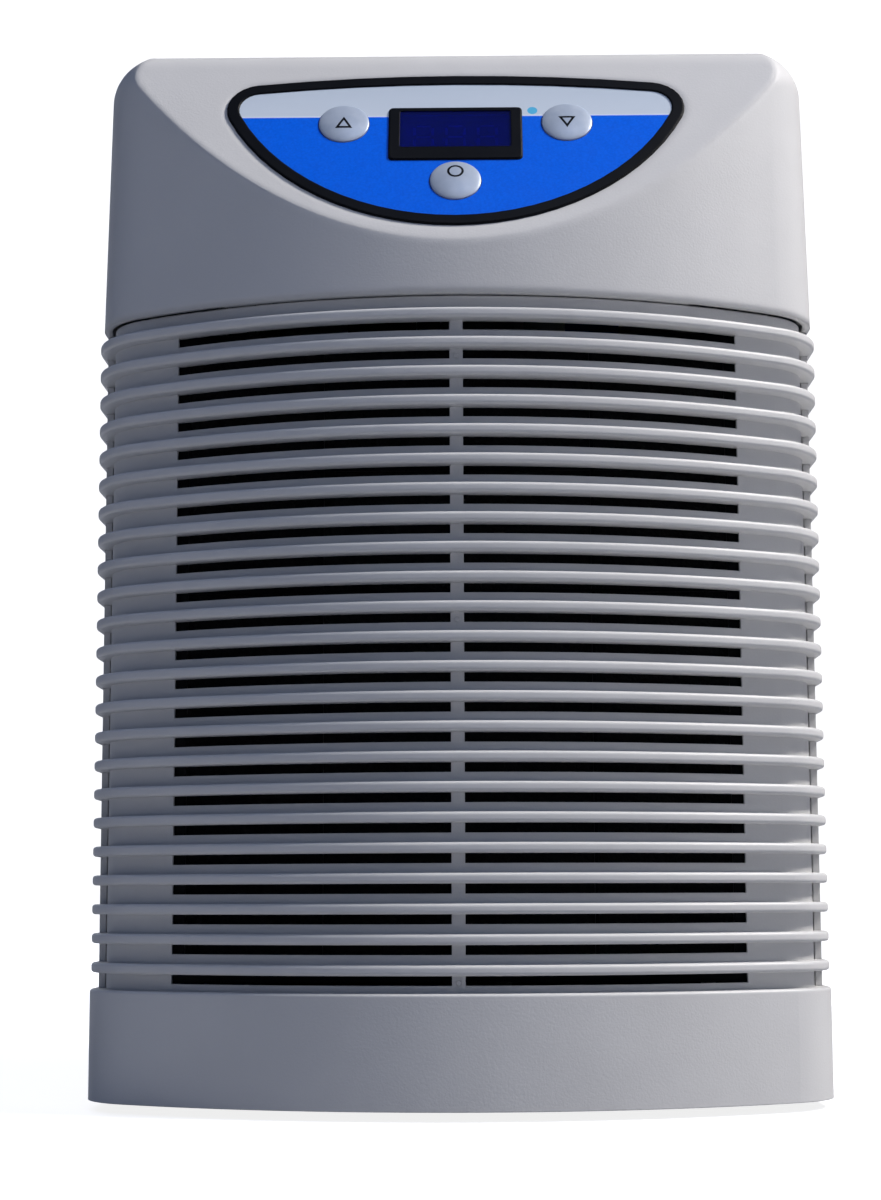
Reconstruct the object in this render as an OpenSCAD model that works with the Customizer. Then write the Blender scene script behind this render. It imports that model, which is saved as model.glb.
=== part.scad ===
// Aquarium chiller: a free-standing water cooler with a bowed louvred front, in millimetres.
// Origin: centre of the footprint on the floor. The front faces -Y, +X is to the viewer's right.

/* [Cabinet] */
// Width across the base band
body_w = 321; // [305:1:340]
// Depth from the front of the base band to the back of the cabinet
case_d = 352; // [344:1:380]
// Radius of the bowed front, on the recessed grille wall
bow_r = 265; // [255:1:285]
// Radius of the front corners in plan, on the ribs
corner_r = 38; // [34:1:44]
// Radius of the rear corners in plan
rear_r = 26; // [25:1:34]
// Wall of the cabinet mouldings
wall = 3; // [2.5:0.1:3.5]
// Height of the rubber feet under the base
foot_h = 4; // [3:0.5:8]

/* [Front grille] */
// Rows of slots, each under one rib
rib_rows = 23; // [21:1:24]
// Height from one rib to the next
rib_pitch = 12.4; // [12:0.1:13]
// Height of a rib
rib_h = 4.3; // [3.8:0.1:4.8]
// How far a rib stands out of the recessed wall
rib_depth = 6.5; // [5:0.1:8]
// Height of a slot
slot_h = 4.1; // [3.2:0.1:4.4]
// Distance from the centre line to the outer end of the slots
slot_reach = 120.6; // [110:0.1:124]
// Width of the upright bar that splits each slot
bar_w = 5.6; // [4:0.1:9]
// Height of the plain base band
band_h = 46.8; // [40:0.1:56]

/* [Top cover] */
// Height of the cover above its lower rim
cover_h = 125.4; // [118:0.1:140]
// Draft angle of the cover's walls
draft_a = 1.3; // [0.8:0.1:2]
// Tilt of the control facet from level
facet_a = 63.2; // [60:0.1:66]
// Height above the rim at which the facet meets the bowed front
facet_rise = 19.9; // [16:0.1:26]
// Radius along the top edges
top_r = 20; // [14:0.5:21]
// Radius between facet and top
brow_r = 16; // [10:0.5:22]
// Dark gap between the cover's lip and the grille wall
lip_gap = 1.6; // [1:0.1:2.4]

/* [Control panel] */
// Radius of the half-moon panel's lower edge
panel_r = 109.4; // [104:0.1:112]
// Height of the half-moon panel up the facet
panel_h = 89.7; // [84:0.1:92]
// Width of the black rim round the panel
rim_w = 5.4; // [4:0.1:7]
// Diameter of the three buttons
button_d = 22; // [18:0.5:23]
// Travel of a button
button_travel = 0.8; // [0.4:0.1:1.2]
// Width of the display bezel
bezel_w = 58.4; // [56:0.1:62]
// Height of the display bezel
bezel_h = 31.7; // [30:0.1:33]

/* [Refrigeration] */
// Depth of the condenser's fin pack
cond_d = 40; // [36:1:44]
// Radius of the condenser tubes
tube_r = 4.76; // [4:0.01:5]
// Radius of the fan blades' tips
fan_r = 98; // [88:1:100]
// Radius of the compressor's shell
comp_r = 66; // [60:0.5:68]
// Height of the compressor's shell
comp_h = 148; // [130:1:160]
// Outer radius of the evaporator vessel
vessel_r = 48; // [42:0.5:50]
// Thickness of the vessel's foam jacket
foam_t = 12; // [8:0.5:13]

/* [Water ports] */
// Outer radius of a port's threaded pipe
port_r = 12; // [11:0.1:13]
// Outer radius of a hose tail, for hose of this inside radius
tail_r = 8; // [7:0.1:8.5]
// Reach of the hose tails behind the rear panel
port_reach = 42; // [38:0.5:55]

/* [Hidden] */
$fn = 48;

// Colours of the real finishes
abs_grey = "#d2d1ce";
dark_grey = "#2b2d30";
panel_blue = "#1560df";
silver_grey = "#b9bec4";
copper = "#b8703f";
bare_metal = "#b4b7ba";

// Shared clearances and the overrun that carries a cut past its solid
cut = 1;
gap = 0.3;
slip = 0.05;

// Plan of the cabinet, on the outer edge of the ribs
band_proud = 0.5;
overall_d = case_d + port_reach;
front_y = -overall_d / 2;
rear_y = front_y + case_d;
rib_front_r = bow_r + rib_depth;
rib_half = body_w / 2 - band_proud;
bow_cy = front_y + band_proud + rib_front_r;
corner_cx = rib_half - corner_r;
corner_cy = round(1000 * (bow_cy - sqrt(pow(rib_front_r - corner_r, 2) - pow(corner_cx, 2)))) / 1000;
bow_a = ceil(1000 * asin(corner_cx / (rib_front_r - corner_r)) + 0.2) / 1000;

// Levels, from the floor up
floor_z = foot_h;
floor_top = floor_z + wall;
band_top = foot_h + band_h;
first_slot_rise = 3;
neck_h = 5.6;
rim_z = band_top + rib_rows * rib_pitch + neck_h;
top_z = rim_z + cover_h;

// Front grille
grille_wall = 2.5;
rib_edge_r = 1.4;
band_edge_r = 1.2;
wall_return = 3;
tongue_t = 2;
tongue_run = 24;
wall_end = corner_cy + wall_return;
rib_end = wall_end + tongue_run;
nub_r = 1.1;
nub_rows = [1, 10, 22];
rail_t = 2;
rail_gap = 2.2;
hook_w = 16;
hook_h = 8;

// Side and rear panels stand inside the ribs' tongues and the base band
panel_x = rib_half - tongue_t - gap;
inner_x = panel_x - wall;
ledge_w = 5;
deck_t = 2.5;
deck_z = rim_z - deck_t - gap;
side_slot_rows = 12;
side_slot_len = 96;
side_slot_end = 58;
foot_r = 13;
foot_in = 34;
foot_edge = 1;
foot_stem_r = 4;
foot_places = [for (x = [-1, 1], y = [corner_cy + foot_in * 2 / 3, rear_y - foot_in])
  [x * (rib_half - foot_in), y]];
tray_lip_t = 2;
tray_lip_h = 6;
tray_lip_in = 18;

// Top cover
cover_step = 1.5;
lip_h = 4;
lip_fill_share = 0.7;
lip_in = rib_depth - lip_gap;
tower_r = 5;
screw_r = 1.9;
pilot_r = screw_r + slip;
tower_x = inner_x - tower_r - ledge_w * 2;
tower_front_y = corner_cy + corner_r;
tower_rear_y = rear_y - rear_r - tower_r;
tower_bore = 20;
tower_places = [for (x = [-1, 1], y = [tower_front_y, tower_rear_y]) [x * tower_x, y]];

// Control panel, in the facet's own plane: x across, s up the slope, w outwards
facet_y = front_y + band_proud + cover_step / 3;
facet_z = rim_z + facet_rise;
panel_foot = 11.4;
panel_top_r = 750;
panel_tip_r = 15;
pocket = 1;
gasket_t = 2;
overlay_t = 1.4;
panel_mid = panel_foot + panel_r;
panel_crown = panel_foot + panel_h;
key_x = 48.8;
key_s = 71.7;
set_s = 37;
bezel_s = 65.2;
bezel_r = 2;
bezel_t = 2.2;
window_w_share = 0.832;
window_h_share = 0.694;
window_rise = 2.6;
window_ledge = 1;
bezel_edge = 0.5;
rim_edge = 0.4;
window_w = bezel_w * window_w_share;
window_h = bezel_h * window_h_share;
window_s = bezel_s + window_rise;
window_t = 1.4;
window_sink = 0.4;
window_r = 1;
board_drop = 12;
board_t = 1.6;
board_w = 136;
board_h = 66;
board_s = 57;
board_post_r = 3.5;
board_post_in = 5;
board_holes = [for (x = [-1, 1], s = [-1, 1])
  [x * (board_w / 2 - board_post_in), board_s + s * (board_h / 2 - board_post_in)]];
button_r = button_d / 2;
button_proud = 2;
button_edge_r = 1.2;
button_flange = 1.6;
button_flange_t = 1.4;
stem_r = 3;
switch_w = 6;
switch_h = 3.5;
plunger_r = 1.75;
plunger_h = 1.2;
press_spare = 0.2;
press_gap = button_travel + press_spare;
button_dome = 0.5;
ribbon_w = 20;
ribbon_t = 1;
ribbon_x = 42;
ribbon_s = 45;
ribbon_out = 14;
ribbon_sag = 8;
ribbon_bend = 10;
ribbon_in = 8;
digit_count = 3;
digit_w = 8;
digit_h = 13;
digit_step = 14;
seg_t = 1.3;
seg_trim_share = 1.4;
seg_sink = 0.3;
led_w = 50.3;
led_h = 19;
led_t = 7.6;
led_w_fit = min(led_w, window_w + 2 * window_r);

// Air filter, behind the slots
filter_t = 4;
filter_half = slot_reach + rail_gap;
filter_rim = 6;
filter_lattice_t = 1.6;
filter_cols = 4;
filter_rows = 5;
filter_z0 = band_top + first_slot_rise;
filter_z1 = band_top + rib_rows * rib_pitch - first_slot_rise;
filter_y = bow_cy - sqrt(pow(bow_r - grille_wall, 2) - pow(filter_half + rail_t, 2)) + gap;

// Condenser
cond_gap = 7;
cond_y0 = filter_y + filter_t + cond_gap;
cond_y1 = cond_y0 + cond_d;
tube_rows = 10;
cond_rise = 8;
cond_drop = 12;
cond_z0 = band_top + cond_rise;
cond_z1 = filter_z1 - cond_drop;
tube_step = (cond_z1 - cond_z0) / tube_rows;
column_share = 0.55;
column_step = cond_d * column_share;
fin_pitch = 8;
fin_t = 0.5;
fin_in = 13;
fin_half = slot_reach - fin_in;
fin_count = floor((fin_half * 2 - fin_pitch) / fin_pitch);
plate_t = 1.2;
plate_foot = 12;
bend_rest = 2.5;

// Fan, behind the condenser
plenum = 10;
shroud_t = 1.5;
shroud_y = cond_y1 + plenum;
tip_gap = 3.5;
ring_t = 2;
ring_depth = 24;
fan_z = (cond_z0 + cond_z1) / 2;
hub_r = 28;
hub_wall = 2;
blade_root_t = 2.4;
blade_tip_t = 5;
blade_twist = 36;
blade_count = 5;
blade_in = 4;
blade_set = 0.4;
blade_depth = ring_depth - blade_in;
fan_y = shroud_y + shroud_t;
shaft_r = 4;
motor_r = 36;
motor_len = 44;
motor_edge = 4;
nose_r = 11;
nose_out = 2;
motor_bore = 24;
post_r = 5;
post_reach = (fan_r + tip_gap + ring_t + post_r * 3) * sin(45);
arm_gap = 5.5;
arm_y = fan_y + ring_depth + arm_gap;
arm_t = 3;
arm_w = 12;
motor_y = arm_y + arm_t;

// Compressor, at the back on the left
grommet_h = 12;
grommet_r = 9;
comp_base_t = 2.5;
comp_shift = 10;
rear_room = 9;
comp_x = -rib_half / 2 + comp_shift;
comp_y = rear_y - wall - comp_r - rear_room;
comp_ear = 10;
comp_trim = 8;
comp_base_w = (comp_r + comp_ear) * 2;
comp_base_d = (comp_r - comp_trim) * 2;
comp_base_r = 14;
comp_round = 18;
comp_dome = 40;
stud_r = 3.5;
stud_in = 11;
comp_z = floor_top + grommet_h + comp_base_t;
comp_top = comp_z + comp_h;
bead_r = 3;
bead_share = 0.55;
stub_r = 5.5;
stub_rise = 14;
stub_grip = 8;
stub_share = 0.62;
stub_top = comp_top + stub_rise;
send_x = comp_x - comp_r * stub_share * sin(45);
send_y = comp_y - comp_r * stub_share * sin(45);
return_x = comp_x + comp_r * stub_share;
terminal_w = 44;
terminal_h = 46;
terminal_rise = 28;
terminal_out = 14;
terminal_in = 12;
grommet_neck_r = 6;
grommet_cap = 3;
washer_r = 8;
washer_t = 1.5;
stud_nut_r = 6.5;
stud_nut_h = 6;
stud_spare = 3;
stud_nut_z = floor_top + grommet_h + comp_base_t + grommet_cap;
comp_holes = [for (x = [-1, 1], y = [-1, 1])
  [comp_x + x * (comp_base_w / 2 - stud_in), comp_y + y * (comp_base_d / 2 - stud_in)]];

// Evaporator vessel, at the back on the right
jacket_r = vessel_r + gap + foam_t;
vessel_room = 8;
vessel_x = inner_x - jacket_r - vessel_room;
vessel_y = rear_y - wall - jacket_r - rear_room;
vessel_wall = 3;
cap_room = 48;
vessel_z0 = floor_top + foam_t;
vessel_z1 = deck_z - cap_room;
flange_t = 6;
flange_w = 9;
cap_t = 8;
seal_t = 1.5;
bolt_r = 2.5;
coil_share = 0.66;
coil_r = vessel_r * coil_share;
coil_tube_r = 4;
coil_turns = 7;
coil_stub_h = 14;
inlet_rise = 46;
outlet_drop = 40;
inlet_z = vessel_z0 + inlet_rise;
outlet_z = vessel_z1 - outlet_drop;
cap_z = vessel_z1 + seal_t;
cap_top = cap_z + cap_t;
bolt_count = 8;
bolt_ring_r = vessel_r + flange_w / 2;
bolt_head_r = 4.4;
bolt_head_h = 3;
gland_r = 8;
gland_h = 5;
coil_floor = 34;
coil_head = 30;
riser_top = cap_top + coil_stub_h;
probe_r = 3;
probe_off = 16;
probe_len = 96;
probe_head_r = 6.5;
probe_head_h = 9;

// Water ports behind the rear panel
port_wall = 3;
port_share = 0.28;
port_end = rear_y + port_reach * port_share;
port_seal_t = 2;
tail_flange_in = 0.4;
tail_flange_r = port_r - tail_flange_in;
tail_flange_t = 4.5;
tail_wall = 2;
land_share = 0.24;
tail_land = port_reach * land_share;
barb_share = 0.3;
barb_count = 3;
barb_cut = 0.9;
nut_wall = 6;
nut_lip = 4;
nut_grips = 12;
nut_grip_r = 2.2;
nut_gap = 1.5;
nut_edge = 1;
nut_y0 = rear_y + nut_gap;
nut_y1 = port_end + port_seal_t + tail_flange_t + gap + nut_lip;

// Refrigerant lines
line_r = 4;
line_bend = 10;
run_gap = 4;
side_run_x = -(fin_half + plate_t + tube_step / 2 + tube_r + line_bend + run_gap);
tube_front_y = (cond_y0 + cond_y1) / 2 - column_step / 2;
tube_back_y = tube_front_y + column_step;
tube_top_z = cond_z0 + tube_step * (tube_rows - 0.5);
tube_low_z = cond_z0 + tube_step * 0.5;
tube_end_x = fin_half + plate_t + bend_rest;
drier_r = 10;
drier_back = 30;
drier_rise = 6;
drier_edge = 4;
neck_len = 10;
drier_y = arm_y + drier_back;
drier_z0 = tube_low_z + line_bend * 2 + drier_rise;
drier_h = 104;
neck_r = 4;
cap_line_r = 1.3;
cap_coil_r = 24;
cap_coil_turns = 3.35;
cap_coil_step = 4;
cap_coil_in = 50;
cap_coil_x = side_run_x + cap_coil_in;
cap_coil_back = 14;
cap_coil_y = drier_y + cap_coil_back;
cap_line_over = 5;
cap_line_z = riser_top + cap_line_over;
cap_coil_z = cap_line_z - cap_coil_turns * cap_coil_step;
cap_turn_drop = 18;
return_over = 12;
return_z = riser_top + return_over;

// Electrics on the deck
board2_w = 160;
board2_d = 104;
board2_x = 10;
board2_back = 82;
board2_y = tower_front_y + board2_back;
post2_h = 10;
post2_r = 4;
post2_in = 7;
board2_z = deck_z + deck_t + post2_h;
trans_w = 46;
trans_d = 38;
trans_h = 34;
relay_w = 32;
relay_d = 27;
relay_h = 20;
capac_r = 17;
capac_h = 62;
capac_x = -112;
capac_y = 42;
capac_edge = 2;
terminal_pin = 6;
terminal_pin_w = 1;
clip_t = 1.5;
clip_h = 14;
deck_front = 14;
deck_front_y = tower_front_y - deck_front;
connector_h = 9;
connector_d = 7;
connector_w = 24;
edge_gap = 5;
lead_r = 1.6;
lead_cap_r = 6;
lead_cap_h = 15;
board2_holes = [for (x = [-1, 1], y = [-1, 1])
  [board2_x + x * (board2_w / 2 - post2_in), board2_y + y * (board2_d / 2 - post2_in)]];

// Cables
cable_r = 2.5;
cable_bend = 12;
cable_comp_x = comp_x + terminal_w / 2 - cable_r * 3;
cable_comp_y = comp_y - comp_r - terminal_out / 2;
cable_fan_y = motor_y + motor_len / 2;
cable_power_x = -38;
cable_power_y = 30;
cable_probe_x = 60;
cable_probe_y = 30;
cable_dip = 14;
cable_hole_r = cable_r * 2;
cable_holes = [[cable_comp_x, cable_comp_y], [0, cable_fan_y], [cable_power_x, cable_power_y],
  [cable_probe_x, cable_probe_y]];

// Power inlet in the rear panel
inlet_shift = 8;
socket_rise = 22;
inlet_x = comp_x - inlet_shift;
inlet_zc = (comp_top + deck_z) / 2 + socket_rise;
panel_out = rear_y - rib_half + panel_x;
socket_w = 24;
socket_h = 17;
socket_wall = 1.5;
socket_depth = 14;
socket_flange = 3.5;
socket_flange_t = 2;
pin_w = 2;
pin_h = 4;
pin_len = 11;
pin_step = 7;
pin_off = 2;
pin_tail = 8;
pin_places = [[-pin_step, -pin_off], [0, pin_off], [pin_step, -pin_off]];
socket_back = panel_out + socket_flange_t - socket_depth - socket_wall * 2;
socket_edge_r = 3;

// Screws
screw_head_r = 3.6;
screw_head_h = 2.2;
screw_len = 14;
boss_r = 4.5;
boss_len = 16;
rear_screw_in = rear_r + boss_r;
rear_screw_z = [band_top + boss_r * 2, deck_z - wall - boss_r * 2];
bracket_t = 4;
bracket_end = 9;
bracket_d = 11;
small_r = 1.4;
small_head_r = 2.6;
small_head_h = 1.6;
small_len = 7;
socket_in_r = 1.2;

// Vectors
function unit(v) = v / norm(v);
function bow_y(x, inset) = bow_cy - sqrt(pow(rib_front_r - inset, 2) - x * x);

// Section w wide up to the wall's foot at x = 0, leaning in by the draft, with a rounded upper corner
function wall_profile(w, h, a, r) = let(cx = (r - h) * tan(a) - r / cos(a), steps = 20)
  concat([[-w, 0], [0, 0]],
    [for (i = [0:steps]) let(t = a + (90 - a) * i / steps) [cx + r * cos(t), h - r + r * sin(t)]],
    [[-w, h]]);

// Carries a profile round both front corners.
// The profile's x = 0 lies the given reach inside the ribs' outer edge.
module along_corners(reach) {
  for (side = [0, 1])
    mirror([side, 0, 0])
      translate([corner_cx, corner_cy, 0])
        rotate_extrude(angle = 90 - bow_a, start = bow_a - 90, $fn = 96)
          translate([corner_r - reach, 0])
            children();
}

// Carries a profile straight back along both sides, from y0 to y1
module along_sides(reach, y0, y1) {
  for (side = [0, 1])
    mirror([side, 0, 0])
      translate([rib_half - reach, y1, 0])
        rotate([90, 0, 0])
          linear_extrude(y1 - y0)
            children();
}

// Carries a profile round the rear corners and along the back
module along_rear(reach) {
  for (side = [0, 1])
    mirror([side, 0, 0])
      translate([rib_half - rear_r, rear_y - rear_r, 0])
        rotate_extrude(angle = 90, $fn = 96)
          translate([rear_r - reach, 0])
            children();
  translate([rib_half - rear_r, rear_y - reach, 0])
    rotate([90, 0, -90])
      linear_extrude(2 * (rib_half - rear_r))
        mirror([1, 0])
          children();
}

// A solid block with the cabinet's plan, its walls leaning in by an angle and its top edge rounded
module plan_block(inset, h, a, r) {
  module section(w) {
    translate([w, 0])
      polygon(wall_profile(w, h, a, r));
  }
  translate([0, bow_cy, 0])
    rotate_extrude(angle = 2 * bow_a, start = -90 - bow_a, $fn = 180)
      section(rib_front_r - inset);
  for (side = [0, 1])
    mirror([side, 0, 0]) {
      translate([corner_cx, corner_cy, 0])
        rotate_extrude(angle = 90 - bow_a, start = bow_a - 90, $fn = 96)
          section(corner_r - inset);
      translate([rib_half - rear_r, rear_y - rear_r, 0])
        rotate_extrude(angle = 90, $fn = 96)
          section(rear_r - inset);
      translate([0, rear_y - rear_r, 0])
        rotate([90, 0, 0])
          linear_extrude(rear_y - rear_r - corner_cy)
            section(rib_half - inset);
    }
  translate([rear_r - rib_half, rear_y - rear_r, 0])
    rotate([90, 0, 90])
      linear_extrude(2 * (rib_half - rear_r))
        section(rear_r - inset);
}

// Plan of the cabinet as one outline, moved in from the ribs' outer edge
function half_plan(inset) = concat(
  [for (i = [0:18]) let(t = bow_a * i / 18)
    [(rib_front_r - inset) * sin(t), bow_cy - (rib_front_r - inset) * cos(t)]],
  [for (i = [1:8]) let(t = bow_a + (90 - bow_a) * i / 8)
    [corner_cx + (corner_r - inset) * sin(t), corner_cy - (corner_r - inset) * cos(t)]],
  [for (i = [0:8]) let(t = 90 * i / 8)
    [rib_half - rear_r + (rear_r - inset) * cos(t), rear_y - rear_r + (rear_r - inset) * sin(t)]]);
function plan_points(inset) = let(p = half_plan(inset))
  concat(p, [for (i = [len(p) - 1:-1:1]) [-p[i][0], p[i][1]]]);

// A rounded-corner rectangle, centred
module soft_rect(w, h, r) {
  polygon([for (q = [0:3], i = [0:4]) let(t = 90 * q + 22.5 * i,
    mx = (q == 0 || q == 3 ? 1 : -1) * (w / 2 - r), my = (q < 2 ? 1 : -1) * (h / 2 - r))
    [mx + r * cos(t), my + r * sin(t)]]);
}

// Places a piece whose axis is Z so that it points to the back
module facing_back(x, y, z) {
  translate([x, y, z])
    rotate([-90, 0, 0])
      children();
}

// Sweeps a round section of the given sides along points, keeping it square to the path
function path_dirs(p) = [for (i = [0:len(p) - 1])
  unit((i < len(p) - 1 ? unit(p[i + 1] - p[i]) : [0, 0, 0]) + (i > 0 ? unit(p[i] - p[i - 1]) : [0, 0, 0]))];
function path_sides(d) = [for (i = 0, s = unit(cross(d[0], [0.3, 1, 0.2])); i < len(d);
  i = i + 1, s = i < len(d) ? unit(s - d[i] * (s * d[i])) : s) s];
module swept_tube(p, r, sides) {
  d = path_dirs(p);
  s = path_sides(d);
  rings = [for (i = [0:len(p) - 1], k = [0:sides - 1])
    p[i] + r * (s[i] * cos(360 * k / sides) + cross(d[i], s[i]) * sin(360 * k / sides))];
  quads = [for (i = [0:len(p) - 2], k = [0:sides - 1]) let(a = i * sides, b = a + sides, n = (k + 1) % sides)
    each [[a + k, b + n, a + n], [a + k, b + k, b + n]]];
  caps = [for (k = [1:sides - 2]) each [[0, k, k + 1],
    [len(rings) - sides, len(rings) - sides + k + 1, len(rings) - sides + k]]];
  polyhedron(points = rings, faces = concat(quads, caps));
}

// Rounds the corners of a list of points with short arcs
function rounded(p, bend, steps) = [for (i = [0:len(p) - 1]) each
  i == 0 || i == len(p) - 1 ? [p[i]] :
  let(u = unit(p[i] - p[i - 1]), v = unit(p[i + 1] - p[i]),
    b = min(bend, norm(p[i] - p[i - 1]) * 0.45, norm(p[i + 1] - p[i]) * 0.45))
  [for (k = [0:steps]) let(t = k / steps)
    (1 - t) * (1 - t) * (p[i] - u * b) + 2 * t * (1 - t) * p[i] + t * t * (p[i] + v * b)]];

// Level of the slot in one row, counted from the bottom
function slot_z(row) = band_top + first_slot_rise + row * rib_pitch;

// Outline of one rib from its root out to its rounded front edge, from the bottom up
function rib_points(root, run, z) = concat([[root, z]],
  [for (i = [0:4]) [run - rib_edge_r + rib_edge_r * sin(22.5 * i),
    z + rib_edge_r - rib_edge_r * cos(22.5 * i)]],
  [for (i = [0:4]) [run - rib_edge_r + rib_edge_r * cos(22.5 * i),
    z + rib_h - rib_edge_r + rib_edge_r * sin(22.5 * i)]],
  [[root, z + rib_h]]);

// Outline of the base band's outer side with its rounded upper edge, from the bottom up
function band_points(run) = concat([[run, floor_z]],
  [for (i = [0:4]) [run - band_edge_r + band_edge_r * cos(22.5 * i),
    band_top - band_edge_r + band_edge_r * sin(22.5 * i)]]);

// Section through the grille: band, recessed wall and all ribs in one outline
module grille_section(reach) {
  polygon(concat([[0, band_top - wall], [reach - wall, band_top - wall], [reach - wall, floor_z]],
    band_points(reach + band_proud), [[grille_wall, band_top]],
    [for (row = [0:rib_rows - 1]) each rib_points(grille_wall, reach, slot_z(row) + slot_h)],
    [[grille_wall, rim_z - gap], [0, rim_z - gap]]));
}

// The bowed middle of a profile that runs round the front
module along_bow(reach, half_angle) {
  translate([0, bow_cy, 0])
    rotate_extrude(angle = 2 * half_angle, start = -90 - half_angle, $fn = 180)
      translate([rib_front_r - reach, 0])
        children();
}

// Louvred front: recessed wall, ribs that wrap round both corners, slots and base band
module front_grille() {
  reach = rib_depth + grille_wall;
  color(abs_grey) {
    difference() {
      along_bow(reach, bow_a)
        grille_section(reach);
      for (row = [0:rib_rows - 1], side = [0, 1])
        mirror([side, 0, 0])
          translate([bar_w / 2, bow_y(0, 0) + rib_depth - cut, slot_z(row)])
            cube([slot_reach - bar_w / 2, filter_y - bow_y(0, 0), slot_h]);
    }
    along_corners(reach)
      grille_section(reach);
    along_sides(reach, corner_cy, wall_end)
      grille_section(reach);
    along_sides(tongue_t, wall_end - cut, rib_end)
      tongue_section();
    for (i = nub_rows)
      facing_back(0, bow_y(0, rib_depth) - nub_r / 2, slot_z(rib_rows - 1 - i) + nub_r)
        cylinder(r = nub_r, h = grille_wall);
    filter_rails();
  }
}

// The ribs and the band run on past the wall as tongues that cover the side panels' front edges
module tongue_section() {
  for (row = [0:rib_rows - 1])
    polygon(rib_points(0, tongue_t, slot_z(row) + slot_h));
  polygon(concat([[0, floor_z]], band_points(tongue_t + band_proud), [[0, band_top]]));
}

// Upright rails behind the wall hold the filter's frame, with a hook at each end
module filter_rails() {
  rail_y = bow_y(filter_half, rib_depth + grille_wall);
  for (side = [0, 1])
    mirror([side, 0, 0]) {
      translate([filter_half + gap, rail_y - grille_wall / 2, filter_z0])
        cube([rail_t, filter_y + filter_t - rail_y + grille_wall / 2 + gap, filter_z1 - filter_z0]);
      for (z = [filter_z0, filter_z1 - hook_h])
        translate([filter_half - rail_t, filter_y + filter_t + gap, z])
          cube([rail_t * 2 + gap, rail_t, hook_h]);
    }
}

module air_filter_frame() {
  color(dark_grey)
    facing_back(0, filter_y, (filter_z0 + filter_z1) / 2)
      linear_extrude(filter_t)
        difference() {
          square([filter_half * 2, filter_z1 - filter_z0], center = true);
          for (p = cells)
            translate(p)
              square([cell_w - filter_lattice_t, cell_h - filter_lattice_t], center = true);
        }
}

// The frame's cells, inside its rim
cell_w = (filter_half - filter_rim) * 2 / filter_cols;
cell_h = (filter_z1 - filter_z0 - filter_rim * 2) / filter_rows;
cells = [for (i = [0:filter_cols - 1], j = [0:filter_rows - 1])
  [(i - (filter_cols - 1) / 2) * cell_w, (j - (filter_rows - 1) / 2) * cell_h]];

// Foam pads, one filling each cell of the frame
module air_filter_mesh() {
  pad_in = filter_lattice_t + slip * 2;
  color("#1a1b1d")
    for (p = cells)
      facing_back(p[0], filter_y + filter_t / 4, (filter_z0 + filter_z1) / 2 + p[1])
        linear_extrude(filter_t / 2)
          square([cell_w - pad_in, cell_h - pad_in], center = true);
}

// Side view of the cover: facet, rounded brow and level top, drawn as depth and height
function facet_profile(inset) =
  let(r = brow_r - inset,
    top = top_z - inset,
    foot = facet_y + inset / sin(facet_a),
    meet = foot + (top - facet_z) / tan(facet_a),
    trim = r * tan(facet_a / 2),
    steps = 14)
  concat([[foot - cover_h / tan(facet_a), facet_z - cover_h]],
    [for (i = [0:steps]) let(t = facet_a * (1 - i / steps))
      [meet + trim - r * sin(t), top - r + r * cos(t)]],
    [[rear_y + rear_r, top], [rear_y + rear_r, facet_z - cover_h]]);

// The cover's outer form
module cover_block() {
  intersection() {
    translate([0, 0, rim_z])
      plan_block(cover_step, cover_h, draft_a, top_r);
    facet_side(0);
  }
}

// The cover's side view carried across its width
module facet_side(inset) {
  translate([-body_w, 0, 0])
    rotate([90, 0, 90])
      linear_extrude(body_w * 2)
        polygon(facet_profile(inset));
}

// Its hollow: upright steps that follow the rounded edges, and a wider recess at the rim
module cover_hollow() {
  lean = cover_h * tan(draft_a);
  curve_r = top_r - wall;
  intersection() {
    for (t = [0, 30, 52, 72])
      translate([0, 0, rim_z - cut])
        linear_extrude(cover_h - top_r + curve_r * sin(t) + cut)
          polygon(plan_points(cover_step + wall + lean + curve_r * (1 - cos(t))));
    facet_side(wall);
  }
  translate([0, 0, rim_z - cut])
    linear_extrude(lip_h + cut)
      polygon(plan_points(lip_in));
}

// Places a piece in the facet's plane: x across, y up the slope, z outwards
module on_facet(x, s, w) {
  translate([0, facet_y, facet_z])
    rotate([facet_a, 0, 0])
      translate([x, s, w])
        children();
}

// Half-moon outline, moved in from the panel's edge: a deep lower arc, a shallow top and round tips
function half_moon(inset) =
  let(r1 = panel_r - inset,
    r2 = panel_top_r - inset,
    r3 = panel_tip_r - inset,
    c1 = panel_mid,
    c2 = panel_crown - panel_top_r,
    d1 = panel_r - panel_tip_r,
    d2 = panel_top_r - panel_tip_r,
    sep = c1 - c2,
    ty = (d2 * d2 - d1 * d1 + sep * sep) / (2 * sep),
    tx = sqrt(d2 * d2 - ty * ty),
    tip_s = c2 + ty,
    a_low = atan2(tip_s - c1, tx),
    a_top = atan2(tip_s - c2, tx))
  concat(
    [for (i = [0:28]) let(a = -180 - a_low + (180 + 2 * a_low) * i / 28) [r1 * cos(a), c1 + r1 * sin(a)]],
    [for (i = [1:8]) let(a = a_low + (a_top - a_low) * i / 8) [tx + r3 * cos(a), tip_s + r3 * sin(a)]],
    [for (i = [1:8]) let(a = a_top + (180 - 2 * a_top) * i / 8) [r2 * cos(a), c2 + r2 * sin(a)]],
    [for (i = [1:7]) let(a = 180 - a_top + (a_top - a_low) * i / 8)
      [-tx + r3 * cos(a), tip_s + r3 * sin(a)]]);

button_places = [[-key_x, key_s], [key_x, key_s], [0, set_s]];

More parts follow.
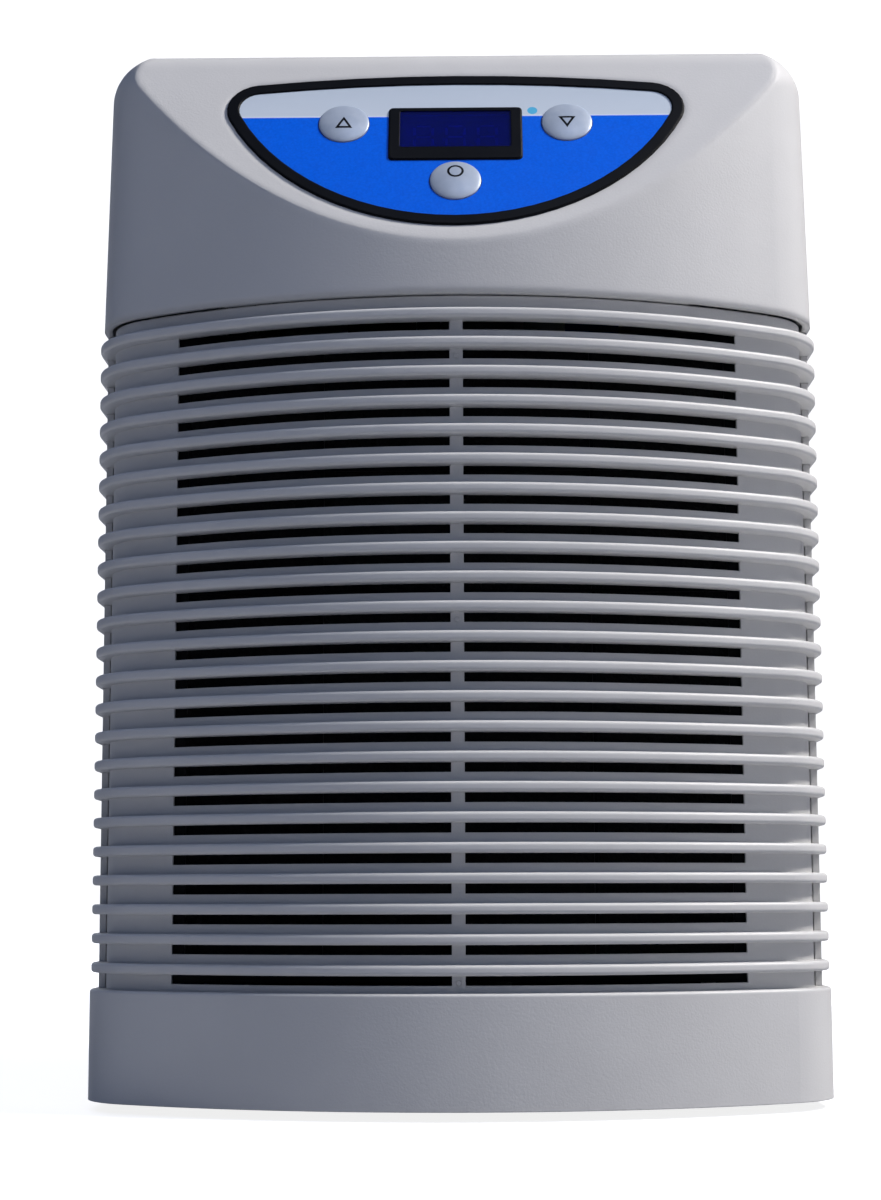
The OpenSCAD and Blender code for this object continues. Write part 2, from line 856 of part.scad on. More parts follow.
// Control cover: facet with the panel's pocket, screw towers and a lip filled in behind the middle
module top_cover() {
  color(abs_grey) {
    difference() {
      union() {
        difference() {
          cover_block();
          cover_hollow();
        }
        for (p = board_holes)
          on_facet(p[0], p[1], -board_drop)
            cylinder(r = board_post_r, h = board_drop - wall / 2);
        for (p = tower_places)
          translate([p[0], p[1], deck_z + deck_t])
            cylinder(r = tower_r, h = tower_top(p[1]) - deck_z - deck_t);
      }
      on_facet(0, 0, -pocket)
        linear_extrude(gasket_t + brow_r)
          polygon(half_moon(-gap / 2));
      for (p = button_places)
        on_facet(p[0], p[1], -wall - cut)
          cylinder(r = button_r + gap, h = wall + cut * 2);
      on_facet(0, window_s, -wall - cut)
        linear_extrude(wall + cut * 2)
          square([led_w_fit + gap * 2, window_h + gap * 2], center = true);
      for (p = tower_places)
        translate([p[0], p[1], deck_z])
          cylinder(r = pilot_r, h = tower_bore);
      for (p = board_holes)
        on_facet(p[0], p[1], -board_drop - cut)
          cylinder(r = small_r + slip, h = small_len + cut);
    }
    translate([0, 0, rim_z])
      along_bow(rib_depth - gap, bow_a * lip_fill_share)
        square([rib_depth - gap - cover_step - wall / 2, lip_h + cut]);
  }
}

// A tower ends inside the roof above it, which is the facet near the front
function tower_top(y) = min(top_z, facet_z + (y - facet_y) * tan(facet_a)) - wall;

// Flat side panel with a ledge for the deck and rows of exhaust slots
module side_panel() {
  y0 = wall_end + gap;
  y1 = rear_y - rear_r - gap;
  slot_y = y1 - side_slot_end - side_slot_len / 2;
  color(abs_grey) {
    difference() {
      translate([inner_x, y0, floor_top])
        cube([wall, y1 - y0, rim_z - gap - floor_top]);
      for (row = [4:side_slot_rows + 3])
        translate([inner_x - cut, slot_y, slot_z(row)])
          cube([wall + cut * 2, side_slot_len, slot_h]);
    }
    translate([inner_x - ledge_w, y0, deck_z - wall])
      cube([ledge_w + wall / 2, y1 - y0, wall]);
    for (z = rear_screw_z)
      rear_bracket(z, y1);
  }
}

// A curved bracket on the side panel that the rear panel is screwed to
module rear_bracket(z, y1) {
  arc_r = rear_r - rib_half + inner_x - gap;
  flat_y = rear_y - rear_r + arc_r;
  difference() {
    union() {
      translate([inner_x - bracket_t, y1 - boss_len, z - boss_r])
        cube([bracket_t + wall / 2, boss_len, boss_r * 2]);
      translate([rib_half - rear_r + arc_r - bracket_t, y1 - boss_len, z - boss_r])
        cube([bracket_t, boss_len + gap, boss_r * 2]);
      translate([rib_half - rear_r, rear_y - rear_r, z - boss_r])
        rotate_extrude(angle = 90, $fn = 96)
          translate([arc_r - bracket_t, 0])
            square([bracket_t, boss_r * 2]);
      translate([rib_half - rear_r - bracket_end, flat_y - bracket_d, z - boss_r])
        cube([bracket_end, bracket_d, boss_r * 2]);
    }
    facing_back(rib_half - rear_screw_in, flat_y - bracket_d - cut, z)
      cylinder(r = pilot_r, h = bracket_d + cut * 2);
  }
}

module right_side_panel() {
  side_panel();
}

module left_side_panel() {
  mirror([1, 0, 0])
    side_panel();
}

// Rear panel with rounded upright corners, exhaust slots and cut-outs for ports and power inlet
module rear_panel() {
  inset = rib_half - panel_x;
  h = rim_z - gap - floor_top;
  slot_w = comp_r * 2 - bar_w * 3;
  color(abs_grey)
    difference() {
      translate([0, 0, floor_top])
        along_rear(inset + wall)
          square([wall, h]);
      for (row = [2:15], side = [0, 1])
        translate([comp_x + (side - 1) * slot_w / 2 + (side - 0.5) * bar_w,
          rear_y - inset - wall - cut, slot_z(row)])
          cube([slot_w / 2, wall + cut * 2, slot_h]);
      for (z = [inlet_z, outlet_z])
        facing_back(vessel_x, rear_y - wall * 2, z)
          cylinder(r = port_r + gap * 2, h = wall * 3);
      translate([inlet_x, rear_y - wall * 2, inlet_zc])
        rotate([-90, 0, 0])
          linear_extrude(wall * 3)
            square([socket_w + (socket_wall + gap) * 2, socket_h + (socket_wall + gap) * 2],
              center = true);
      for (z = rear_screw_z, x = [-1, 1])
        facing_back(x * (rib_half - rear_screw_in), rear_y - inset - wall * 2, z)
          cylinder(r = screw_r + slip, h = wall * 3);
    }
}

// Base band's run round the back, with a foot that joins it to the floor plate
module skirt_section() {
  polygon(concat([[-wall, floor_z]], band_points(tongue_t + band_proud),
    [[0, band_top], [0, floor_top], [-wall, floor_top]]));
}

// Floor tray: plate inside the band, skirt round the back, lips that locate the side panels
module base_tray() {
  lip_y0 = wall_end + tray_lip_in;
  lip_y1 = rear_y - rear_r - tray_lip_in;
  color(abs_grey)
    difference() {
      union() {
        translate([0, 0, floor_z])
          linear_extrude(wall)
            polygon(plan_points(wall + gap));
        along_sides(tongue_t, rib_end + gap, rear_y - rear_r)
          skirt_section();
        along_rear(tongue_t)
          skirt_section();
        for (side = [0, 1])
          mirror([side, 0, 0])
            translate([inner_x - gap - tray_lip_t, lip_y0, floor_top - wall / 2])
              cube([tray_lip_t, lip_y1 - lip_y0, tray_lip_h + wall / 2]);
      }
      for (p = foot_places)
        translate([p[0], p[1], floor_z - cut])
          cylinder(r = foot_stem_r + slip, h = wall + cut * 2);
    }
}

// Four pads with a plug each that presses into the floor plate
module rubber_feet() {
  color("#1d1e20")
    for (p = foot_places)
      translate([p[0], p[1], 0])
        rotate_extrude()
          polygon([[0, 0], [foot_r - foot_edge, 0], [foot_r, foot_edge], [foot_r, foot_h],
            [foot_stem_r, foot_h], [foot_stem_r, floor_top], [0, floor_top]]);
}

// Plate on the side panels' ledges that carries the electrics, under the cover
module equipment_deck() {
  color("#8d9094")
    difference() {
      union() {
        translate([0, 0, deck_z])
          linear_extrude(deck_t)
            intersection() {
              polygon(plan_points(rib_half - inner_x + gap));
              translate([-inner_x, deck_front_y])
                square([inner_x * 2, rear_y - deck_front_y]);
            }
        for (p = board2_holes)
          translate([p[0], p[1], deck_z + deck_t / 2])
            cylinder(r = post2_r, h = post2_h + deck_t / 2);
      }
      for (p = board2_holes)
        translate([p[0], p[1], board2_z - small_len])
          cylinder(r = small_r + slip, h = small_len + cut);
      for (p = tower_places)
        translate([p[0], p[1], deck_z - cut])
          cylinder(r = pilot_r, h = deck_t + cut * 2);
      for (p = cable_holes)
        translate([p[0], p[1], deck_z - cut])
          cylinder(r = cable_hole_r, h = deck_t + cut * 2);
    }
}

// Raised black rim round the half-moon panel, set in the facet's pocket
module panel_gasket() {
  color(dark_grey)
    on_facet(0, 0, -pocket) {
      linear_extrude(gasket_t - rim_edge)
        difference() {
          polygon(half_moon(0));
          polygon(half_moon(rim_w));
        }
      translate([0, 0, gasket_t - rim_edge])
        linear_extrude(rim_edge)
          difference() {
            polygon(half_moon(rim_edge));
            polygon(half_moon(rim_w - rim_edge));
          }
    }
}

// Coloured panel face with openings for the display and the buttons
module membrane_overlay() {
  color(panel_blue)
    on_facet(0, 0, -pocket)
      difference() {
        linear_extrude(overlay_t)
          polygon(half_moon(rim_w + slip));
        for (p = button_places)
          translate([p[0], p[1], -cut])
            cylinder(r = button_r + gap, h = overlay_t + cut * 2);
        translate([0, bezel_s, -cut])
          linear_extrude(overlay_t + cut * 2)
            soft_rect(bezel_w + slip * 2, bezel_h + slip * 2, bezel_r + slip);
      }
}

// Display frame with a ledge that the window rests on
module display_bezel() {
  seat = bezel_t - window_sink - window_t;
  color("#17181a")
    on_facet(0, bezel_s, -pocket)
      difference() {
        union() {
          linear_extrude(bezel_t - bezel_edge)
            soft_rect(bezel_w, bezel_h, bezel_r);
          translate([0, 0, bezel_t - bezel_edge])
            linear_extrude(bezel_edge)
              soft_rect(bezel_w - bezel_edge * 2, bezel_h - bezel_edge * 2, bezel_r);
        }
        translate([0, window_s - bezel_s, -cut])
          linear_extrude(bezel_t + cut)
            soft_rect(window_w - window_ledge * 2, window_h - window_ledge * 2, window_r);
        translate([0, window_s - bezel_s, seat])
          linear_extrude(bezel_t)
            soft_rect(window_w, window_h, window_r);
      }
}

module display_window() {
  color([0.1, 0.12, 0.3, 0.7])
    on_facet(0, window_s, bezel_t - pocket - window_sink - window_t)
      linear_extrude(window_t)
        soft_rect(window_w - slip * 2, window_h - slip * 2, window_r);
}

// Numeric display with sunk segments, on the board behind the window
module led_display() {
  color("#131417")
    on_facet(0, window_s, -board_drop)
      difference() {
        linear_extrude(led_t)
          square([led_w_fit, led_h], center = true);
        for (i = [0:digit_count - 1])
          translate([(i - (digit_count - 1) / 2) * digit_step, 0, led_t - seg_sink])
            linear_extrude(seg_sink + cut)
              digit();
      }
}

// One seven-segment digit: three level bars and four upright ones
module digit() {
  for (y = [-1, 0, 1])
    translate([0, y * digit_h / 2])
      square([digit_w - seg_t * seg_trim_share, seg_t], center = true);
  for (x = [-1, 1], y = [-1, 1])
    translate([x * digit_w / 2, y * digit_h / 4])
      square([seg_t, digit_h / 2 - seg_t * seg_trim_share], center = true);
}

// Side view of a button: stem, flange under the facet, shank, rounded edge and slightly domed face
function button_outline() =
  let(top = overlay_t - pocket + button_proud,
    low = -wall - gap,
    tip = switch_h + plunger_h + press_gap - board_drop,
    face_r = button_r - button_edge_r)
  concat([[0, tip], [stem_r, tip], [stem_r, low - button_flange_t],
    [button_r + button_flange, low - button_flange_t], [button_r + button_flange, low], [button_r, low]],
    [for (i = [0:3]) [face_r + button_edge_r * cos(30 * i),
      top - button_edge_r + button_edge_r * sin(30 * i)]],
    [for (i = [1:4]) let(q = 1 - i / 4) [face_r * q, top + button_dome * (1 - q * q)]]);

module button(p) {
  color(silver_grey)
    on_facet(p[0], p[1], 0)
      rotate_extrude($fn = 96)
        polygon(button_outline());
}

module up_button() {
  button(button_places[0]);
}

module down_button() {
  button(button_places[1]);
}

module set_button() {
  button(button_places[2]);
}

// Board behind the panel, screwed to the cover's posts
module display_board() {
  color("#1c5a35")
    difference() {
      on_facet(0, board_s, -board_drop - board_t)
        linear_extrude(board_t)
          square([board_w, board_h], center = true);
      for (p = board_holes)
        on_facet(p[0], p[1], -board_drop - board_t - cut)
          cylinder(r = small_r + slip, h = board_t + cut * 2);
    }
}

module tact_switches() {
  color("#2a2a2c")
    for (p = button_places)
      on_facet(p[0], p[1], -board_drop) {
        linear_extrude(switch_h)
          square(switch_w, center = true);
        cylinder(r = plunger_r, h = switch_h + plunger_h);
      }
}

// Flat cable from the display board down to the main board
module display_ribbon() {
  y0 = facet_y + ribbon_s * cos(facet_a) + (board_drop + board_t) * sin(facet_a);
  z0 = facet_z + ribbon_s * sin(facet_a) - (board_drop + board_t) * cos(facet_a);
  y1 = board2_y - board2_d / 2 + ribbon_in;
  path = rounded([[0, y0, z0], [0, y0 + ribbon_out * sin(facet_a), z0 - ribbon_out * cos(facet_a)],
    [0, y1, z0 - ribbon_out * cos(facet_a) - ribbon_sag], [0, y1, board2_z + board_t]], ribbon_bend, 4);
  d = path_dirs(path);
  last = len(path) - 1;
  color("#9a9da1")
    translate([ribbon_x - ribbon_w / 2, 0, 0])
      rotate([90, 0, 90])
        linear_extrude(ribbon_w)
          polygon(concat(
            [for (i = [0:last]) [path[i][1] - d[i][2] * ribbon_t / 2, path[i][2] + d[i][1] * ribbon_t / 2]],
            [for (i = [last:-1:0])
              [path[i][1] + d[i][2] * ribbon_t / 2, path[i][2] - d[i][1] * ribbon_t / 2]]));
}

// Circles where the condenser tubes pass, drawn as depth and height
module tube_circles(r) {
  for (row = [0:tube_rows - 1], y = [tube_front_y, tube_back_y])
    translate([y, cond_z0 + tube_step * (row + 0.5)])
      circle(r);
}

// Carries a drawing of depth and height across the width, from x
module across(x, t) {
  translate([x, 0, 0])
    rotate([90, 0, 90])
      linear_extrude(t)
        children();
}

module condenser_fins() {
  color("#c3c6c8")
    for (i = [0:fin_count - 1])
      across((i - (fin_count - 1) / 2) * fin_pitch - fin_t / 2, fin_t)
        difference() {
          translate([cond_y0, cond_z0])
            square([cond_d, cond_z1 - cond_z0]);
          tube_circles(tube_r + slip);
        }
}

// One tube folded through the fins in two columns, from the top at the back to the bottom at the back
module condenser_tubes() {
  color(copper) {
    for (row = [0:tube_rows - 1], y = [tube_front_y, tube_back_y])
      translate([-tube_end_x, y, cond_z0 + tube_step * (row + 0.5)])
        rotate([0, 90, 0])
          cylinder(r = tube_r, h = tube_end_x * 2);
    for (row = [0:tube_rows - 1])
      translate([tube_end_x, (tube_front_y + tube_back_y) / 2, cond_z0 + tube_step * (row + 0.5)])
        rotate([0, 0, -90])
          rotate_extrude(angle = 180)
            translate([column_step / 2, 0])
              circle(tube_r);
    for (row = [1:tube_rows - 1])
      translate([-tube_end_x, (tube_rows - row) % 2 == 1 ? tube_front_y : tube_back_y,
        cond_z0 + tube_step * row])
        rotate([90, 0, 0])
          rotate([0, 0, 90])
            rotate_extrude(angle = 180)
              translate([tube_step / 2, 0])
                circle(tube_r);
  }
}

// Upright plates at both ends of the fins stand on the floor and carry the fan shroud
module condenser_end_plates() {
  color("#a7aaad")
    for (side = [0, 1])
      mirror([side, 0, 0]) {
        across(fin_half, plate_t)
          difference() {
            translate([cond_y0, floor_top])
              square([fan_y - cond_y0, cond_z1 - floor_top]);
            tube_circles(tube_r + slip);
          }
        translate([fin_half, cond_y0, floor_top])
          cube([plate_foot, fan_y - cond_y0, plate_t]);
      }
}

// Duct behind the condenser with the fan's ring and four posts
module fan_shroud() {
  mouth_r = fan_r + tip_gap;
  color(dark_grey) {
    difference() {
      translate([slip - fin_half, cond_y1, cond_z0])
        cube([(fin_half - slip) * 2, fan_y - cond_y1, cond_z1 - cond_z0]);
      translate([shroud_t - fin_half, cond_y1 - cut, cond_z0 + shroud_t])
        cube([(fin_half - shroud_t) * 2, plenum + cut, cond_z1 - cond_z0 - shroud_t * 2]);
      facing_back(0, cond_y1, fan_z)
        cylinder(r = mouth_r, h = plenum * 2, $fn = 96);
    }
    facing_back(0, shroud_y + shroud_t / 2, fan_z)
      rotate_extrude($fn = 96)
        translate([mouth_r, 0])
          square([ring_t, ring_depth]);
    for (x = [-1, 1], z = [-1, 1])
      facing_back(x * post_reach, shroud_y + shroud_t / 2, fan_z + z * post_reach)
        cylinder(r = post_r, h = arm_y - shroud_y - shroud_t / 2);
  }
}

// Hub cup and five blades that twist towards the back
module fan_impeller() {
  color("#1f2124")
    facing_back(0, fan_y, fan_z) {
      rotate_extrude()
        polygon([[shaft_r + slip, 0], [hub_r, 0], [hub_r, blade_depth], [hub_r - hub_wall, blade_depth],
          [hub_r - hub_wall, hub_wall], [shaft_r + hub_wall * 2, hub_wall],
          [shaft_r + hub_wall * 2, blade_depth], [shaft_r + slip, blade_depth]]);
      for (i = [0:blade_count - 1])
        translate([0, 0, blade_set])
          rotate([0, 0, 360 * i / blade_count])
            linear_extrude(height = blade_depth - blade_set * 2, twist = blade_twist, slices = 6)
              polygon([[hub_r - hub_wall / 2, 0], [fan_r, 0], [fan_r, blade_tip_t],
                [hub_r - hub_wall / 2, blade_root_t]]);
    }
}

module fan_shaft() {
  color(bare_metal)
    facing_back(0, fan_y, fan_z)
      cylinder(r = shaft_r, h = motor_y - nose_out - arm_t + motor_bore - fan_y);
}

// Round motor with a nose through the bracket and a bore for the shaft
module fan_motor() {
  nose = arm_t + nose_out;
  bore_end = motor_bore - nose + gap;
  color("#6f7479")
    facing_back(0, motor_y, fan_z)
      rotate_extrude($fn = 96)
        polygon([[shaft_r + slip, -nose], [nose_r, -nose], [nose_r, 0], [motor_r - motor_edge, 0],
          [motor_r, motor_edge], [motor_r, motor_len - motor_edge],
          [motor_r - motor_edge, motor_len], [0, motor_len], [0, bore_end],
          [shaft_r + slip, bore_end]]);
}

// Four diagonal arms on the shroud's posts hold the motor
module fan_bracket() {
  color("#8a8e92")
    facing_back(0, arm_y, fan_z)
      difference() {
        union() {
          cylinder(r = motor_r, h = arm_t);
          for (i = [0:3])
            rotate([0, 0, 45 + 90 * i])
              translate([motor_r / 2, -arm_w / 2, 0])
                cube([post_reach / sin(45) + post_r - motor_r / 2, arm_w, arm_t]);
        }
        translate([0, 0, -cut])
          cylinder(r = nose_r + gap, h = arm_t + cut * 2);
      }
}

// Hermetic shell: rounded bottom, weld bead, domed top and two line stubs
module compressor_shell() {
  bead_z = comp_z + comp_h * bead_share;
  color("#1c1d1f")
    difference() {
      union() {
        translate([comp_x, comp_y, 0])
          rotate_extrude($fn = 96)
            polygon(concat([[0, comp_z]],
              [for (i = [0:6]) let(t = 15 * i - 90) [comp_r - comp_round + comp_round * cos(t),
                comp_z + comp_round + comp_round * sin(t)]],
              [[comp_r, bead_z - bead_r], [comp_r + bead_r, bead_z - bead_r / 2],
                [comp_r + bead_r, bead_z + bead_r / 2], [comp_r, bead_z + bead_r]],
              [for (i = [0:9]) [comp_r * cos(10 * i), comp_top - comp_dome + comp_dome * sin(10 * i)]]));
        for (p = [[send_x, send_y], [return_x, comp_y]])
          translate([p[0], p[1], comp_top - comp_dome])
            cylinder(r = stub_r, h = comp_dome + stub_rise);
      }
      for (p = [[send_x, send_y], [return_x, comp_y]])
        translate([p[0], p[1], stub_top - stub_grip])
          cylinder(r = line_r + slip, h = stub_grip + cut);
    }
}

module compressor_feet() {
  color("#26282a")
    difference() {
      translate([comp_x, comp_y, floor_top + grommet_h])
        linear_extrude(comp_base_t)
          soft_rect(comp_base_w, comp_base_d, comp_base_r);
      for (p = comp_holes)
        translate([p[0], p[1], floor_top + grommet_h - cut])
          cylinder(r = grommet_neck_r + slip, h = comp_base_t + cut * 2);
    }
}

module compressor_grommets() {
  color("#222325")
    for (p = comp_holes)
      translate([p[0], p[1], floor_top])
        rotate_extrude()
          polygon([[stud_r + slip, 0], [grommet_r, 0], [grommet_r, grommet_h],
            [grommet_neck_r, grommet_h], [grommet_neck_r, grommet_h + comp_base_t],
            [grommet_r, grommet_h + comp_base_t], [grommet_r, grommet_h + comp_base_t + grommet_cap],
            [stud_r + slip, grommet_h + comp_base_t + grommet_cap]]);
}

module compressor_studs() {
  color(bare_metal)
    for (p = comp_holes)
      translate([p[0], p[1], floor_top])
        cylinder(r = stud_r, h = stud_nut_z + washer_t + stud_nut_h + stud_spare - floor_top);
}

// A washer and a hexagon nut on each stud
module compressor_nuts() {
  color("#c0c2c4")
    for (p = comp_holes)
      translate([p[0], p[1], stud_nut_z])
        difference() {
          union() {
            cylinder(r = washer_r, h = washer_t);
            cylinder(r = stud_nut_r, h = washer_t + stud_nut_h, $fn = 6);
          }
          translate([0, 0, -cut])
            cylinder(r = stud_r + slip, h = washer_t + stud_nut_h + cut * 2);
        }
}

// Cap over the compressor's terminals, curved to its shell
module terminal_cover() {
  color("#1a1a1c")
    difference() {
      translate([comp_x - terminal_w / 2, comp_y - comp_r - terminal_out, comp_z + terminal_rise])
        cube([terminal_w, terminal_out + terminal_in, terminal_h]);
      translate([comp_x, comp_y, comp_z])
        cylinder(r = comp_r + slip, h = comp_h, $fn = 96);
    }
}

// Hot gas line from the compressor to the top of the condenser
module discharge_line() {
  color(copper)
    swept_tube(rounded([[send_x, send_y, stub_top - stub_grip + gap], [send_x, send_y, tube_top_z],
      [side_run_x, send_y, tube_top_z], [side_run_x, tube_back_y, tube_top_z],
      [-tube_end_x, tube_back_y, tube_top_z]], line_bend, 5), line_r, 16);
}

// Liquid line from the bottom of the condenser to the drier
module liquid_line() {
  color(copper)
    swept_tube(rounded([[-tube_end_x, tube_back_y, tube_low_z], [side_run_x, tube_back_y, tube_low_z],
      [side_run_x, drier_y, tube_low_z], [side_run_x, drier_y, drier_z0 - neck_len]], line_bend, 5), line_r, 16);
}

module filter_drier() {
  color("#b98a55")
    translate([side_run_x, drier_y, drier_z0])
      rotate_extrude()
        polygon([[0, -neck_len], [neck_r, -neck_len], [neck_r, 0], [drier_r - drier_edge, 0],
          [drier_r, drier_edge], [drier_r, drier_h - drier_edge], [drier_r - drier_edge, drier_h],
          [neck_r, drier_h], [neck_r, drier_h + neck_len], [0, drier_h + neck_len]]);
}

// Points of a rising coil, sixteen to a turn
function coil_points(c, r, step, turns, a0) = [for (i = [0:turns * 16])
  let(a = a0 + 360 * i / 16) [c[0] + r * cos(a), c[1] + r * sin(a), c[2] + step * i / 16]];

// Thin line from the drier, coiled a little over three times under the deck, to the coil's inlet
module capillary_tube() {
  coil = coil_points([cap_coil_x, cap_coil_y, cap_coil_z], cap_coil_r, cap_coil_step, cap_coil_turns, 180);
  rise = rounded([[side_run_x, drier_y, drier_z0 + drier_h + neck_len],
    [side_run_x, drier_y, cap_coil_z - cap_turn_drop], coil[0]], line_bend, 5);
  fall = rounded([coil[len(coil) - 1], [vessel_x, vessel_y, cap_line_z], [vessel_x, vessel_y, riser_top]],
    line_bend, 5);
  color(copper)
    swept_tube(concat([for (i = [0:len(rise) - 2]) rise[i]], coil, [for (i = [1:len(fall) - 1]) fall[i]]),
      cap_line_r, 10);
}

// Cold gas line from the coil's outlet back to the compressor
module suction_line() {
  color(copper)
    swept_tube(rounded([[vessel_x - coil_r, vessel_y, riser_top], [vessel_x - coil_r, vessel_y, return_z],
      [return_x, comp_y, return_z], [return_x, comp_y, stub_top - stub_grip + gap]], line_bend, 5), line_r, 16);
}

// Coil in the water: inlet down the middle, seven turns up, outlet at the side
module refrigerant_coil() {
  z0 = vessel_z0 + coil_floor;
  z1 = vessel_z1 - coil_head;
  turns = coil_turns + 0.5;
  coil = coil_points([vessel_x, vessel_y, z0], coil_r, (z1 - z0) / turns, turns, 0);
  down = rounded([[vessel_x, vessel_y, riser_top], [vessel_x, vessel_y, z0], coil[0]], line_bend, 5);
  last = coil[len(coil) - 1];
  color("#8f9498")
    swept_tube(concat([for (i = [0:len(down) - 2]) down[i]], coil,
      [[vessel_x - coil_r, vessel_y - coil_tube_r, last[2] + coil_tube_r * 2],
        [vessel_x - coil_r, vessel_y, last[2] + coil_tube_r * 4], [vessel_x - coil_r, vessel_y, riser_top]]),
      coil_tube_r, 12);
}

// Places a piece on the vessel's axis at a level
module on_vessel(z) {
  translate([vessel_x, vessel_y, z])
    children();
}

// Holes for the cap's bolts
module bolt_ring() {
  for (i = [0:bolt_count - 1])
    rotate([0, 0, 360 * (i + 0.5) / bolt_count])
      translate([bolt_ring_r, 0, 0])
        children();
}

// Water vessel with two threaded ports that pass through the rear panel
module evaporator_vessel() {
  color("#a9adb0")
    difference() {
      union() {
        on_vessel(vessel_z0)
          cylinder(r = vessel_r, h = vessel_z1 - vessel_z0, $fn = 96);
        on_vessel(vessel_z1 - flange_t)
          cylinder(r = vessel_r + flange_w, h = flange_t, $fn = 96);
        for (z = [inlet_z, outlet_z])
          facing_back(vessel_x, vessel_y + vessel_r / 2, z)
            cylinder(r = port_r, h = port_end - vessel_y - vessel_r / 2);
      }
      on_vessel(vessel_z0 + vessel_wall)
        cylinder(r = vessel_r - vessel_wall, h = vessel_z1 - vessel_z0, $fn = 96);
      for (z = [inlet_z, outlet_z])
        facing_back(vessel_x, vessel_y, z)
          cylinder(r = port_r - port_wall, h = rear_y);
      on_vessel(vessel_z1 - flange_t - cut)
        bolt_ring()
          cylinder(r = bolt_r + slip, h = flange_t + cut * 2);
    }
}

module evaporator_cap() {
  color("#9ea2a5")
    difference() {
      union() {
        on_vessel(cap_z)
          cylinder(r = vessel_r + flange_w, h = cap_t, $fn = 96);
        for (x = [0, -coil_r])
          translate([vessel_x + x, vessel_y, cap_z])
            cylinder(r = gland_r, h = cap_t + gland_h);
      }
      for (x = [0, -coil_r])
        translate([vessel_x + x, vessel_y, cap_z - cut])
          cylinder(r = coil_tube_r + slip, h = cap_t + gland_h + cut * 2);
      translate([vessel_x + probe_off, vessel_y, cap_z - cut])
        cylinder(r = probe_r + slip, h = cap_t + cut * 2);
      on_vessel(cap_z - cut)
        bolt_ring()
          cylinder(r = bolt_r + slip, h = cap_t + cut * 2);
    }
}

module cap_seal() {
  color("#1b1b1d")
    on_vessel(vessel_z1)
      rotate_extrude($fn = 96)
        translate([vessel_r - vessel_wall, 0])
          square([bolt_ring_r - bolt_r - gap - vessel_r + vessel_wall, seal_t]);
}

module cap_bolts() {
  color("#c6c8ca")
    on_vessel(vessel_z1 - flange_t)
      bolt_ring() {
        cylinder(r = bolt_r, h = cap_top - vessel_z1 + flange_t);
        translate([0, 0, cap_top - vessel_z1 + flange_t])
          cylinder(r = bolt_head_r, h = bolt_head_h, $fn = 6);
      }
}

// Foam jacket round the vessel, with openings for the ports
module evaporator_insulation() {
  color("#2f3134")
    difference() {
      on_vessel(floor_top)
        cylinder(r = jacket_r, h = vessel_z1 - flange_t - gap - floor_top, $fn = 96);
      on_vessel(vessel_z0)
        cylinder(r = vessel_r + slip, h = vessel_z1, $fn = 96);
      for (z = [inlet_z, outlet_z])
        facing_back(vessel_x, vessel_y, z)
          cylinder(r = port_r + slip, h = jacket_r * 2);
    }
}

module port_seals() {
  color("#19191b")
    for (z = [inlet_z, outlet_z])
      facing_back(vessel_x, port_end, z)
        rotate_extrude()
          translate([port_r - port_wall, 0])
            square([tail_flange_r - port_r + port_wall, port_seal_t]);
}

// Hose tails: a flange under the nut, a plain land and cut barbs
module hose_tails() {
  y0 = port_end + port_seal_t;
  neck = nut_y1 - y0;
  land = neck + tail_land;
  step = (rear_y + port_reach - y0 - land) / barb_count;
  root_r = tail_r - barb_cut;
  color("#e4e3de")
    for (z = [inlet_z, outlet_z])
      facing_back(vessel_x, y0, z)
        rotate_extrude()
          polygon(concat([[tail_r - tail_wall, 0], [tail_flange_r, 0], [tail_flange_r, tail_flange_t],
            [tail_r - gap, tail_flange_t], [tail_r - gap, neck], [tail_r, neck], [tail_r, land],
            [root_r, land]],
            [for (i = [0:barb_count - 1]) each [[root_r, land + step * (i + barb_share)],
              [tail_r, land + step * (i + barb_share)], [root_r, land + step * (i + 1)]]],
            [[tail_r - tail_wall, land + step * barb_count]]));
}

// Union nut with grip grooves and a lip behind the hose tail's flange
module port_nut(z) {
  r_out = port_r + slip + nut_wall;
  h = nut_y1 - nut_y0;
  color("#dedcd6")
    facing_back(vessel_x, nut_y0, z)
      difference() {
        rotate_extrude($fn = 96)
          polygon([[port_r + slip, 0], [r_out - nut_edge, 0], [r_out, nut_edge], [r_out, h - nut_edge],
            [r_out - nut_edge, h], [tail_r + gap, h], [tail_r + gap, h - nut_lip],
            [port_r + slip, h - nut_lip]]);
        for (i = [0:nut_grips - 1])
          rotate([0, 0, 360 * i / nut_grips])
            translate([r_out + nut_grip_r / 2, 0, -cut])
              cylinder(r = nut_grip_r, h = h + cut * 2, $fn = 24);
      }
}

module inlet_nut() {
  port_nut(inlet_z);
}

module outlet_nut() {
  port_nut(outlet_z);
}

module temperature_probe() {
  color("#b6b9bc")
    translate([vessel_x + probe_off, vessel_y, cap_top])
      rotate_extrude()
        polygon([[0, -probe_len], [probe_r, -probe_len], [probe_r, 0], [probe_head_r, 0],
          [probe_head_r, probe_head_h], [0, probe_head_h]]);
}

